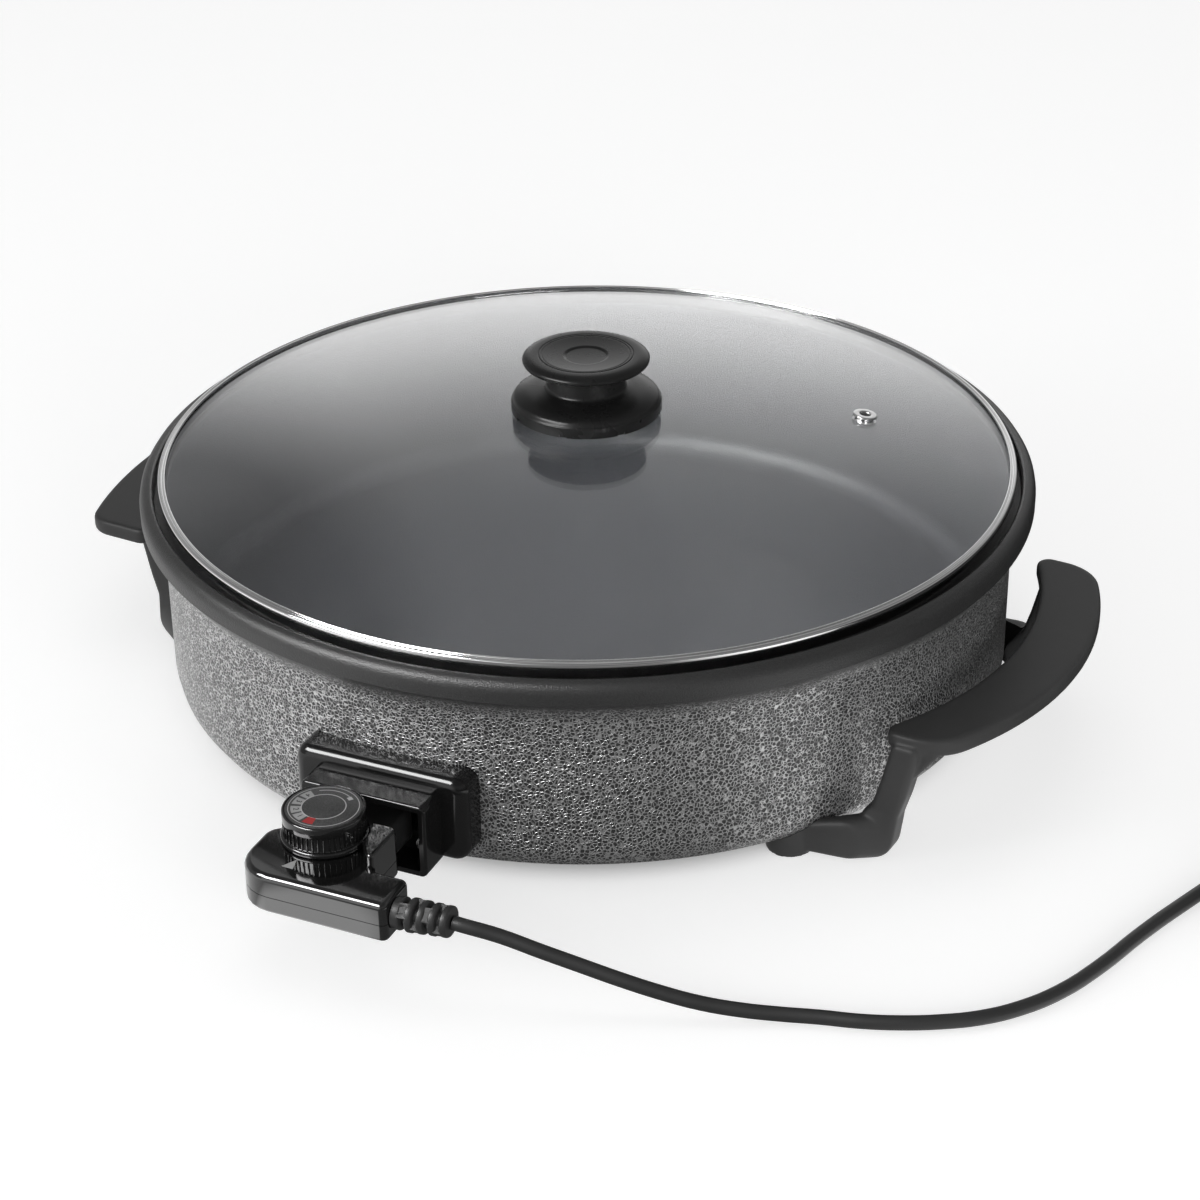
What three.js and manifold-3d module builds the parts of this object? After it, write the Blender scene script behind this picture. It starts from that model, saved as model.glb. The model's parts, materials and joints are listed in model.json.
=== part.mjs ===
import * as THREE from 'three';
import { mergeVertices } from 'three/addons/utils/BufferGeometryUtils.js';
import Module from 'manifold-3d';

const wasm = await Module();
wasm.setup();

// Electric skillet: a deep round pan on four moulded feet, a loose glass lid, and a plug-in
// thermostat controller with its mains cord. Millimetres, +Z up. The socket faces -Y, and the
// two handles lie to the right and left, turned a little clockwise.

// Driving dimensions

// Clearances
const seatGap = 0.3;
const slideGap = 0.6;
const cutOverrun = 2;

// Pan
const rimRadius = 213;
const rimZ = 107;
const lipRise = 3;
const lipRound = 2.6;
const lipWidth = 6.6;
const shoulderDrop = 4;
const rimSkirtDrop = 7;
const rimCoveDrop = 29;
const rimOverhang = 10;
const wallThickness = 3.2;
const panBottomZ = 7;
const panCornerRadius = 15;
const innerCornerRadius = 12;
const standRingInnerRadius = 174;
const floorUndersideRise = 7;
const floorThickness = 5;

// Heating element and its groove
const elementRadius = 125;
const elementDiameter = 6.4;
const elementRibWall = 3.2;
const elementRibDrop = 6;
const elementFloorCover = 3.2;
const elementSpacing = 24;
const elementBendRadius = 16;
const elementRiserBend = 9;
const elementRiserOffset = 4.9;
const elementNotchSide = 1.1;

// Socket housing
const housingX = -4;
const flangeWidth = 83;
const flangeHeight = 42;
const flangeBottomZ = 19;
const flangeStandoff = 11;
const flangeWall = 2.6;
const flangeCorner = 6;
const flangeEdge = 2;
const flangeRootShare = 0.9;
const hoodWidth = 59.5;
const hoodHeight = 35.5;
const hoodDepth = 15;
const hoodWall = 3;
const hoodCorner = 2.5;
const hoodEdge = 0.8;
const pinDiameter = 4.5;
const pinSpacing = 22;
const pinReach = 12;
const pinRootOffset = 3.2;
const terminalStandoff = 1.2;
const terminalBlockWidth = 35;
const terminalBlockHeight = 17;
const probeCupWall = 2;
const housingScrewSpacing = 44;
const housingScrewRise = 7.6;
const housingBossRadius = 4.4;

// Screws
const screwRadius = 2.1;
const screwHeadRadius = 3.5;
const screwHeadHeight = 2.4;
const screwLength = 9.4;

// Handles. The left one has a squarer grip, and its legs are closer together.
const rightHandle = {
  name: 'handle_right',
  turn: -5.6,
  bow: 176,
  corner: 24,
  legSide: 88,
  legInset: 0,
  elbowInset: 15,
  elbowSide: 95.5,
};
const leftHandle = {
  name: 'handle_left',
  turn: 175,
  bow: 232,
  corner: 14,
  legSide: 74,
  legInset: 3.4,
  elbowInset: 26,
  elbowSide: 86.5,
};
const gripClearance = 18;
const gripWidth = 30;
const gripInnerBow = 171;
const gripHalfLength = 92;
const gripTopZ = 64.7;
const gripThickness = 8;
const gripInnerCorner = 6;
const gripEdge = 1.5;
const legTopStandoff = 5.2;
const legFootInset = 3.2;
const legTopZ = 52;
const legFootZ = 9;
const legWidth = 13;
const legDepth = 13.5;
const legCorner = 4.5;
const armHalfWidth = 5.8;
const armThickness = 16.5;
const armLift = 0.8;
const armSetback = 4.5;
const footInset = 45;
const footSide = 101;
const footDiameter = 25;
const footHeight = 13.8;
const footScrewHeadRadius = 4.4;
const footScrewLength = 11.4;
const footCounterbore = 3.4;

// Lid
const lidPlay = 2.6;
const bandTopRise = 8;
const bandRollHeight = 3;
const bandLap = 1;
const bandRoll = 1.1;
const bandWall = 0.6;
const bandOverhang = 1.5;
const glassThickness = 4;
const glassEdgeRise = 6.6;
const glassApexRise = 28.5;
const glassHoleRadius = 5.5;
const ventRadial = 133.6;
const ventAzimuth = 28.6;
const ventBoreRadius = 2.6;
const ventWall = 2;
const ventFlangeLap = 1.2;
const ventFlangeThickness = 1;

// Lid knob
const knobSkirtRadius = 35.7;
const knobSkirtBand = 5.4;
const knobDomeHeight = 5.8;
const knobDomeShares = [
  [0, 0],
  [0.08, 0.36],
  [0.3, 0.7],
  [0.6, 0.9],
  [1, 1],
];
const knobSkirtWall = 2.6;
const knobNeckRadius = 18.5;
const knobNeckWall = 3;
const knobSocketFloor = 9;
const knobCapEdge = 2;
const knobCapRadius = 30.1;
const knobCapRise = 23;
const knobCapHeight = 27.9;
const knobBoreRadius = 2.7;
const knobScrewHeadRadius = 5;
const knobScrewHeadHeight = 2.8;
const knobInsertRadius = 4.2;
const knobInsertLength = 12;
const gasketRadius = 13;
const gasketThickness = 1.2;
const washerRadius = 10;
const washerThickness = 1.4;

// Controller
const controllerRight = 36.8;
const controllerLeft = 35.8;
const controllerHeight = 18.4;
const controllerDrop = 10.15;
const controllerSeamRise = 8;
const controllerWall = 2.2;
const controllerEdge = 1.8;
const controllerCorner = 3.2;
const controllerRound = 17;
const controllerHollow = 5;
const neckHalfWidth = 22.6;
const neckStandoff = 10;
const neckRise = 5;
const napeDepth = 8;
const shoulderDepth = 7;
const backDepth = 10.6;
const frontDepth = 22.2;
const noseHalfWidth = 17.4;
const noseRise = 2.7;
const noseHeight = 15.3;
const noseStandoff = 3;
const noseCorner = 2.5;
const noseTab = 2.6;
const noseTabDepth = 2.6;
const probeDiameter = 8;
const probeTipGap = 2.8;
const probeAnchor = 7;
const sleeveWall = 1.2;
const sleeveLength = 16;
const sleeveInset = 0.8;
const mechanismWidth = 28;
const mechanismDepth = 19;
const mechanismHeight = 8;
const mechanismX = -8;
const shellPostWall = 0.9;
const shellScrewRadius = 1.4;
const shellHeadRadius = 2.6;
const shellHeadHeight = 1.8;
const shellScrewLength = 11;
const shellScrewInset = 10.2;
const neckScrewInset = 7;
const neckScrewDepth = 12;

// Dial
const dialX = -10.4;
const dialDepth = 10.8;
const dialRadius = 17.9;
const dialBaseRadius = 19;
const dialBaseHeight = 2.2;
const dialHeight = 13.9;
const dialRibHeight = 6.4;
const dialRibCount = 44;
const dialRibDepth = 0.7;
const dialRimWidth = 1.5;
const dialPlateThickness = 0.6;
const dialRecessGap = 1.4;
const dialShaftRadius = 3;
const dialShaftSink = 6;
const dialBoreDepth = 9;
const dialHollowDepth = 8;
const dialHubRadius = 6;
const dialWall = 2.7;
const dialClipRadius = 5.2;
const dialClipThickness = 0.8;

// Strain relief, cord and plug
const reliefDepth = 12.8;
const reliefRise = 9.8;
const reliefLength = 23.2;
const reliefDrift = 4.5;
const reliefFall = 1.6;
const reliefRootRadius = 7.4;
const reliefTipRadius = 6.3;
const reliefCoreRadius = 4.6;
const reliefRings = 4;
const reliefRootShare = 0.2;
const reliefNeckRadius = 4.4;
const reliefFlangeRadius = 5.8;
const reliefFlangeThickness = 2;
const cordDiameter = 6.4;
const cordSides = 8;
const cordJoint = 0.3;
const coilX = 384;
const coilY = -38;
const coilHeading = 62.6;
const coilOuterRadius = 42.6;
const coilPitch = 7.3;
const coilTurns = 4.25;
const coilLayerRise = 7.2;
const coilLift = 1.2;
const coilStepsPerTurn = 24;
const coilSides = 6;
const tieAzimuth = -60;
const tieWidth = 6;
const tieThickness = 0.7;
const tieGap = 0.45;
const tailLength = 56;
const plugRadius = 18.6;
const plugBodyLength = 33;
const plugReliefLength = 24;
const plugReliefTip = 4.6;
const plugReliefRoot = 8.4;
const plugShoulder = 6;
const plugFlat = 15.4;
const plugPinRadius = 2.4;
const plugPinLength = 19;
const plugPinSink = 8;
const plugPinSpacing = 19;
const earthClipWidth = 4.2;
const earthClipLength = 14;
const earthClipThickness = 1;
const earthClipSink = 1.6;

// Derived places
const wallRadius = rimRadius - rimOverhang;
const wallInnerRadius = wallRadius - wallThickness;
const lipInnerRadius = rimRadius - lipWidth;
const shoulderZ = rimZ - shoulderDrop;
const floorUndersideZ = panBottomZ + floorUndersideRise;
const floorTopZ = floorUndersideZ + floorThickness;
const elementGrooveWidth = elementDiameter + 2 * slideGap;
const elementRibBottomZ = floorUndersideZ - elementRibDrop;
const elementGrooveTopZ = floorTopZ - elementFloorCover;
const elementZ = elementGrooveTopZ - seatGap - elementDiameter / 2;
const flangeReach = wallRadius + flangeStandoff;
const hoodFront = flangeReach + hoodDepth;
const socketZ = flangeBottomZ + hoodHeight / 2;
const housingScrewZ = flangeBottomZ + housingScrewRise;
const pinRoot = wallRadius + pinRootOffset;
const probeCupRadius = probeDiameter / 2 + slideGap + probeCupWall;
const gripInnerReach = wallRadius + gripClearance;
const gripOuterReach = gripInnerReach + gripWidth;
const legTopRadial = wallRadius + legTopStandoff;
const legFootRadial = wallRadius - legFootInset;
const footRadial = wallRadius - footInset;
const lidBandRadius = lipInnerRadius - lidPlay;
const bandSkirtRadius = lidBandRadius - bandOverhang;
const bandBottomZ = shoulderZ + seatGap;
const glassRadius = bandSkirtRadius - bandWall - seatGap;
const glassRimZ = rimZ + glassEdgeRise;
const glassTopZ = rimZ + glassApexRise;
const glassSag = glassTopZ - glassRimZ;
const glassSphere = (glassRadius ** 2 + glassSag ** 2) / (2 * glassSag);
const ventHoleRadius = ventBoreRadius + ventWall;
const ventFlangeRadius = ventHoleRadius + ventFlangeLap;
const neckEnd = hoodFront + neckStandoff;
const neckLeft = neckHalfWidth - housingX;
const neckRight = neckHalfWidth + housingX;
const controllerNape = neckEnd + napeDepth;
const controllerShoulder = controllerNape + shoulderDepth;
const controllerBack = controllerShoulder + backDepth;
const controllerFront = controllerBack + frontDepth;
const controllerBottomZ = socketZ - controllerDrop;
const controllerTopZ = controllerBottomZ + controllerHeight;
const controllerSeamZ = controllerBottomZ + controllerSeamRise;
const noseEnd = flangeReach + noseStandoff;
const noseBottomZ = controllerBottomZ + noseRise;
const noseTopZ = noseBottomZ + noseHeight;
const probeTip = wallRadius + probeTipGap;
const probeTail = neckEnd + probeAnchor;
const shellPostRadius = shellHeadRadius + seatGap + shellPostWall;
const shellScrewPlaces = [
  [shellScrewInset - controllerLeft, controllerFront - shellScrewInset],
  [controllerRight - shellScrewInset, controllerFront - shellScrewInset],
  [neckRight - neckScrewInset, neckEnd + neckScrewDepth],
];
const dialY = neckEnd + dialDepth;
const dialPlateRadius = dialRadius - dialRimWidth;
const dialHollowRadius = dialRadius - dialWall;
const dialRecess = dialBaseRadius + dialRecessGap;
const reliefY = controllerBack + reliefDepth;
const reliefZ = controllerBottomZ + reliefRise;
const panY = (controllerFront - rimRadius) / 2;

// Finishes
const finish = (color, roughness, metalness) =>
  new THREE.MeshStandardMaterial({ color, roughness, metalness });
const hammeredBlack = finish(0x2b2b2d, 0.55, 0.2);
const mattBlack = finish(0x303133, 0.6, 0);
const glossBlack = finish(0x141415, 0.18, 0);
const steel = finish(0xc9c9c6, 0.25, 1);
const glass = finish(0xbfc6c4, 0.04, 0);
const rubber = finish(0x1b1b1c, 0.8, 0);
const ceramic = finish(0xe6e2d6, 0.7, 0);
const brass = finish(0xb99a5b, 0.35, 1);
const plateGrey = finish(0x2a2a2b, 0.5, 0);

// Solids and meshes

// A closed surface with shared corners and no flat triangles, wound outwards.
function toSolid(geometry) {
  const plain = geometry.index ? geometry.toNonIndexed() : geometry.clone();
  for (const name of Object.keys(plain.attributes)) {
    if (name !== 'position') plain.deleteAttribute(name);
  }
  const welded = mergeVertices(plain, 1e-4);
  const places = welded.attributes.position.array;
  const corners = [];
  let volume = 0;
  const at = (i) => new THREE.Vector3().fromArray(places, i * 3);
  for (let i = 0; i < welded.index.count; i += 3) {
    const [a, b, c] = [0, 1, 2].map((k) => welded.index.getX(i + k));
    if (a === b || b === c || c === a) continue;
    corners.push(a, b, c);
    volume += at(a).dot(at(b).cross(at(c)));
  }
  if (volume < 0) corners.reverse();
  const mesh = new wasm.Mesh({
    numProp: 3,
    vertProperties: new Float32Array(places),
    triVerts: new Uint32Array(corners),
  });
  return new wasm.Manifold(mesh);
}

function toGeometry(solid) {
  const mesh = solid.getMesh();
  const geometry = new THREE.BufferGeometry();
  const places = new THREE.BufferAttribute(new Float32Array(mesh.vertProperties), 3);
  geometry.setAttribute('position', places);
  geometry.setIndex(new THREE.BufferAttribute(new Uint32Array(mesh.triVerts), 1));
  return geometry;
}

const join = (solids) => solids.reduce((a, b) => a.add(b));
const cut = (solid, tools) => tools.reduce((a, b) => a.subtract(b), solid);

const skillet = new THREE.Group();

function place(name, solid, material, parent = skillet) {
  const geometry = toGeometry(solid).toNonIndexed();
  geometry.computeVertexNormals();
  const mesh = new THREE.Mesh(geometry, material);
  mesh.name = name;
  parent.add(mesh);
  return mesh;
}

// A turned solid about +Z from [radius, z] points.
function turned(profile, segments) {
  const points = profile.map(([r, z]) => new THREE.Vector2(r, z));
  const first = points[0];
  const last = points[points.length - 1];
  if (first.x > 0 || last.x > 0) points.push(first.clone());
  return toSolid(new THREE.LatheGeometry(points, segments).rotateX(Math.PI / 2));
}

function rod(radius, z0, z1, segments = 14) {
  const geometry = new THREE.CylinderGeometry(radius, radius, z1 - z0, segments);
  return toSolid(geometry.rotateX(Math.PI / 2).translate(0, 0, (z0 + z1) / 2));
}

// A rod along Y between two distances, with its axis at x, z.
function rodY(radius, x, z, y0, y1, segments = 14) {
  const geometry = new THREE.CylinderGeometry(radius, radius, Math.abs(y1 - y0), segments);
  return toSolid(geometry.translate(x, (y0 + y1) / 2, z));
}

function block(x0, x1, y0, y1, z0, z1) {
  const geometry = new THREE.BoxGeometry(x1 - x0, y1 - y0, z1 - z0);
  return toSolid(geometry.translate((x0 + x1) / 2, (y0 + y1) / 2, (z0 + z1) / 2));
}

// Points of a round stretch, angles in degrees.
function arc(cx, cy, radius, from, to, steps) {
  return Array.from({ length: steps + 1 }, (_, i) => {
    const a = THREE.MathUtils.degToRad(from + ((to - from) * i) / steps);
    return [cx + radius * Math.cos(a), cy + radius * Math.sin(a)];
  });
}

// A polygon of [x, y, cornerRadius] listed anticlockwise, drawn in by inset.
function roundedOutline(corners, inset = 0, steps = 3) {
  const count = corners.length;
  const edge = (i) => {
    const [ax, ay] = corners[(i + count) % count];
    const [bx, by] = corners[(i + 1) % count];
    const length = Math.hypot(bx - ax, by - ay);
    const [dx, dy] = [(bx - ax) / length, (by - ay) / length];
    return { px: ax - dy * inset, py: ay + dx * inset, dx, dy };
  };
  const points = [];
  for (let i = 0; i < count; i += 1) {
    const e = edge(i - 1);
    const f = edge(i);
    const cross = e.dx * f.dy - e.dy * f.dx;
    const t = ((f.px - e.px) * f.dy - (f.py - e.py) * f.dx) / cross;
    const [vx, vy] = [e.px + e.dx * t, e.py + e.dy * t];
    const radius = Math.max(corners[i][2] - Math.sign(cross) * inset, 0);
    if (radius === 0) {
      points.push(new THREE.Vector2(vx, vy));
      continue;
    }
    const turn = Math.acos(THREE.MathUtils.clamp(e.dx * f.dx + e.dy * f.dy, -1, 1));
    const back = radius * Math.tan(turn / 2);
    const side = Math.sign(cross);
    const [cx, cy] = [vx - e.dx * back - e.dy * radius * side, vy - e.dy * back + e.dx * radius * side];
    const start = Math.atan2(vy - e.dy * back - cy, vx - e.dx * back - cx);
    for (let k = 0; k <= steps; k += 1) {
      const a = start + (side * turn * k) / steps;
      points.push(new THREE.Vector2(cx + radius * Math.cos(a), cy + radius * Math.sin(a)));
    }
  }
  return points;
}

// A prism of an outline from z0 to z1, with softened edges where edge is over zero.
function prism(outline, z0, z1, edge = 0, rounds = 1) {
  const geometry = new THREE.ExtrudeGeometry(new THREE.Shape(outline), {
    depth: z1 - z0 - 2 * edge,
    bevelEnabled: edge > 0,
    bevelThickness: edge,
    bevelSize: edge,
    bevelOffset: -edge,
    bevelSegments: rounds,
    steps: 1,
  });
  return toSolid(geometry.translate(0, 0, z0 + edge));
}

// A prism along Y whose outline lies in the XZ plane, from y0 back to y1.
function prismY(outline, y0, y1, edge = 0) {
  const flat = prism(outline, 0, Math.abs(y1 - y0), edge);
  return flat.rotate([90, 0, 0]).translate([0, Math.max(y0, y1), 0]);
}

const rectangle = (x0, x1, y0, y1, corner) => [
  [x0, y0, corner],
  [x1, y0, corner],
  [x1, y1, corner],
  [x0, y1, corner],
];

// A tube along points, ending square. Without a step count it has one step for each point.
function tube(points, diameter, sides, steps) {
  const path = new THREE.CatmullRomCurve3(points, false, 'centripetal');
  if (!steps) path.getUtoTmapping = (share) => share;
  const ring = Array.from({ length: sides }, (_, i) => {
    const a = (2 * Math.PI * (i + 0.5)) / sides;
    return new THREE.Vector2((diameter / 2) * Math.cos(a), (diameter / 2) * Math.sin(a));
  });
  const options = {
    steps: steps || points.length - 1,
    extrudePath: path,
    bevelEnabled: false,
  };
  return toSolid(new THREE.ExtrudeGeometry(new THREE.Shape(ring), options));
}

// Pan: one casting with a rolled rim, an inner shoulder for the lid, a stand ring and the
// element's ribs under its floor.
const largeSegments = 40;

function panOuterProfile(grow) {
  const bend = arc(
    wallRadius - panCornerRadius,
    panBottomZ + panCornerRadius,
    panCornerRadius + grow,
    -90,
    0,
    3,
  );
  const coveZ = rimZ - rimCoveDrop;
  const flareShares = [
    [0, 0],
    [0.07, 0.14],
    [0.2, 0.31],
    [0.36, 0.48],
    [0.55, 0.655],
    [0.65, 0.7],
    [0.92, 0.76],
  ];
  const flare = flareShares.map(([out, up]) => [
    wallRadius + grow + (rimRadius - wallRadius) * out,
    coveZ + (rimZ - coveZ) * up,
  ]);
  return [...bend, ...flare];
}

function buildPan() {
  const lipTopZ = rimZ + lipRise;
  const groove = elementGrooveWidth / 2;
  const profile = [
    [0, floorUndersideZ],
    [elementRadius - groove - elementRibWall, floorUndersideZ],
    [elementRadius - groove - elementRibWall, elementRibBottomZ],
    [elementRadius - groove, elementRibBottomZ],
    [elementRadius - groove, elementGrooveTopZ],
    [elementRadius + groove, elementGrooveTopZ],
    [elementRadius + groove, elementRibBottomZ],
    [elementRadius + groove + elementRibWall, elementRibBottomZ],
    [elementRadius + groove + elementRibWall, floorUndersideZ],
    [standRingInnerRadius, floorUndersideZ],
    [standRingInnerRadius, panBottomZ],
    ...panOuterProfile(0),
    [rimRadius, rimZ - rimSkirtDrop + lipRound / 2],
    [rimRadius, rimZ],
    ...arc(rimRadius - lipRound, lipTopZ - lipRound, lipRound, 30, 90, 2),
    [lipInnerRadius + lipRound / 2, lipTopZ],
    [lipInnerRadius, lipTopZ - lipRound / 2],
    [lipInnerRadius, shoulderZ],
    [wallInnerRadius, shoulderZ],
    ...arc(
      wallInnerRadius - innerCornerRadius,
      floorTopZ + innerCornerRadius,
      innerCornerRadius,
      0,
      -90,
      3,
    ),
    [0, floorTopZ],
  ];
  let pan = turned(profile, largeSegments);
  const bossTip = flangeReach - flangeWall - seatGap;
  const keepInside = turned(insideProfile(), largeSegments);
  for (const x of housingScrewPlaces()) {
    const boss = rodY(housingBossRadius, x, housingScrewZ, -wallInnerRadius, -bossTip);
    const bore = rodY(
      screwRadius + seatGap,
      x,
      housingScrewZ,
      -(flangeReach - screwLength),
      -bossTip - cutOverrun,
    );
    pan = pan.add(boss.subtract(keepInside)).subtract(bore);
  }
  pan = cut(pan, elementWays());
  for (const [x, y] of footPlaces()) {
    const top = footCounterbore + footScrewLength + seatGap;
    pan = pan.subtract(rod(screwRadius + seatGap, 0, top).translate([x, y, 0]));
  }
  return pan.translate([0, panY, 0]);
}

// The space inside the pan wall, which the bosses keep out of.
function insideProfile() {
  const half = wallInnerRadius + wallThickness / 2;
  return [[0, 0], [half, 0], [half, rimZ], [0, rimZ]];
}

function housingScrewPlaces() {
  return [-1, 1].map((side) => housingX + (side * housingScrewSpacing) / 2);
}

function footPlaces() {
  const places = [];
  for (const { turn } of [rightHandle, leftHandle]) {
    const a = THREE.MathUtils.degToRad(turn);
    for (const side of [-footSide, footSide]) {
      places.push([
        footRadial * Math.cos(a) - side * Math.sin(a),
        footRadial * Math.sin(a) + side * Math.cos(a),
      ]);
    }
  }
  return places;
}

// The two cold ends of the element: from the ring's circle through a bend, out under the wall
// and up into the housing. Each is a list of points.
function elementLeads() {
  const riserY = -(wallRadius + elementRiserOffset);
  return [-1, 1].map((side) => {
    const x = housingX + (side * elementSpacing) / 2;
    const cx = x + side * elementBendRadius;
    const cy = -Math.sqrt((elementRadius + elementBendRadius) ** 2 - cx ** 2);
    const joinAngle = THREE.MathUtils.radToDeg(Math.atan2(cy, cx));
    const from = side < 0 ? 0 : 180;
    const to = joinAngle + 180;
    const bend = arc(cx, cy, elementBendRadius, to, from, 4);
    const flat = bend.map(([px, py]) => new THREE.Vector3(px, py, elementZ));
    const rising = arc(
      riserY + elementRiserBend,
      elementZ + elementRiserBend,
      elementRiserBend,
      270,
      180,
      4,
    ).map(([py, pz]) => new THREE.Vector3(x, py, pz));
    const topZ = socketZ - terminalBlockHeight / 2 - seatGap;
    const points = [...flat, ...rising, new THREE.Vector3(x, riserY, topZ)];
    return { points, joinAngle };
  });
}

// What the cold ends need cut away from the pan: their own clear way, open downwards, and the
// gap in the outer rib where they leave the groove.
function elementWays() {
  const leads = elementLeads();
  const halfRun = elementDiameter / 2 + elementNotchSide;
  const ways = leads.map(({ points }) => tube(points, 2 * halfRun, 8));
  for (const side of [-1, 1]) {
    const x = housingX + (side * elementSpacing) / 2;
    ways.push(
      block(
        x - halfRun,
        x + halfRun,
        -(wallRadius + cutOverrun),
        -elementRadius,
        panBottomZ - cutOverrun,
        elementZ,
      ),
    );
  }
  const reach = elementSpacing / 2 + elementBendRadius;
  const outer = elementRadius + elementGrooveWidth / 2 + elementRibWall + cutOverrun;
  ways.push(
    block(housingX - reach, housingX + reach, -outer, -elementRadius, elementRibBottomZ - cutOverrun,
      floorUndersideZ),
  );
  return ways;
}

function buildElement() {
  const leads = elementLeads();
  const [left, right] = leads.map(({ joinAngle }) => joinAngle);
  const ring = arc(0, 0, elementRadius, right, left + 360, 36).slice(1, -1);
  const points = ring.map(([x, y]) => new THREE.Vector3(x, y, elementZ));
  const [leftLead, rightLead] = leads.map((lead) => lead.points);
  const path = [...[...rightLead].reverse(), ...points, ...leftLead];
  return tube(path, elementDiameter, 6).translate([0, panY, 0]);
}

place('pan', buildPan(), hammeredBlack);
place('heating_element', buildElement(), steel);

// Socket housing: a hollow flange shaped to the wall, with an open hood in front.
function panShape(grow) {
  const profile = [[0, panBottomZ - grow], ...panOuterProfile(grow), [rimRadius, rimZ], [0, rimZ]];
  return turned(profile, largeSegments);
}

function buildHousing() {
  const flangeX0 = housingX - flangeWidth / 2;
  const flangeX1 = housingX + flangeWidth / 2;
  const flangeTopZ = flangeBottomZ + flangeHeight;
  const flangeBox = rectangle(flangeX0, flangeX1, flangeBottomZ, flangeTopZ, flangeCorner);
  const back = wallInnerRadius * flangeRootShare;
  const flange = prismY(roundedOutline(flangeBox), -back, -flangeReach, flangeEdge);
  const cavity = prismY(
    roundedOutline(flangeBox, flangeWall),
    -back + cutOverrun,
    -(flangeReach - flangeWall),
  );
  const hoodX0 = housingX - hoodWidth / 2;
  const hoodX1 = housingX + hoodWidth / 2;
  const hoodBox = rectangle(hoodX0, hoodX1, flangeBottomZ, flangeBottomZ + hoodHeight, hoodCorner);
  const hood = prismY(
    roundedOutline(hoodBox),
    -(flangeReach - flangeWall / 2),
    -hoodFront,
    hoodEdge,
  );
  const mouth = prismY(roundedOutline(hoodBox, hoodWall), -flangeReach, -hoodFront - cutOverrun);
  const holes = [rodY(probeCupRadius + seatGap, housingX, socketZ, -back, -hoodFront)];
  for (const side of [-1, 1]) {
    const pinX = housingX + (side * pinSpacing) / 2;
    holes.push(rodY(pinDiameter / 2 + slideGap, pinX, socketZ, -back, -hoodFront));
    const leadX = housingX + (side * elementSpacing) / 2;
    const half = elementDiameter / 2 + elementNotchSide;
    holes.push(
      block(leadX - half, leadX + half, -(flangeReach - flangeWall), -back,
        flangeBottomZ - cutOverrun, flangeBottomZ + flangeWall + cutOverrun),
    );
  }
  for (const x of housingScrewPlaces()) {
    holes.push(rodY(screwRadius + seatGap, x, housingScrewZ, -back, -hoodFront));
  }
  const shell = cut(flange.subtract(cavity).add(hood), [mouth, ...holes, panShape(seatGap)]);
  return shell.translate([0, panY, 0]);
}

place('socket_housing', buildHousing(), glossBlack);

housingScrewPlaces().forEach((x, i) => {
  const face = flangeReach + seatGap;
  const shank = rodY(screwRadius, x, housingScrewZ, -(flangeReach - screwLength + seatGap), -face);
  const head = rodY(screwHeadRadius, x, housingScrewZ, -face, -(face + screwHeadHeight));
  const screw = shank.add(head).translate([0, panY, 0]);
  place(`housing_screw_${i + 1}`, screw, steel);
});

// Terminal block, the two pins that carry the current, and the cup that takes the probe.
function buildTerminalBlock() {
  const half = terminalBlockWidth / 2;
  const front = flangeReach - flangeWall - seatGap;
  const low = socketZ - terminalBlockHeight / 2;
  const box = block(
    housingX - half,
    housingX + half,
    -front,
    -wallInnerRadius,
    low,
    low + terminalBlockHeight,
  );
  const ways = [panShape(seatGap + terminalStandoff)];
  ways.push(rodY(probeCupRadius + seatGap, housingX, socketZ, 0, -controllerFront));
  for (const side of [-1, 1]) {
    const pinX = housingX + (side * pinSpacing) / 2;
    ways.push(rodY(pinDiameter / 2 + seatGap, pinX, socketZ, -pinRoot, -controllerFront));
  }
  return cut(box, ways).translate([0, panY, 0]);
}

place('terminal_block', buildTerminalBlock(), ceramic);

[-1, 1].forEach((side) => {
  const x = housingX + (side * pinSpacing) / 2;
  const pin = rodY(pinDiameter / 2, x, socketZ, -pinRoot - seatGap, -(flangeReach + pinReach));
  place(side < 0 ? 'terminal_pin_left' : 'terminal_pin_right', pin.translate([0, panY, 0]), steel);
});

function buildProbeCup() {
  const mouth = flangeReach;
  const base = wallRadius + probeCupWall;
  const cup = rodY(probeCupRadius, housingX, socketZ, -wallInnerRadius, -mouth);
  const bore = rodY(
    probeCupRadius - probeCupWall,
    housingX,
    socketZ,
    -base,
    -mouth - cutOverrun,
  );
  return cut(cup, [bore, panShape(seatGap)]).translate([0, panY, 0]);
}

place('probe_cup', buildProbeCup(), steel);

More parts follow.
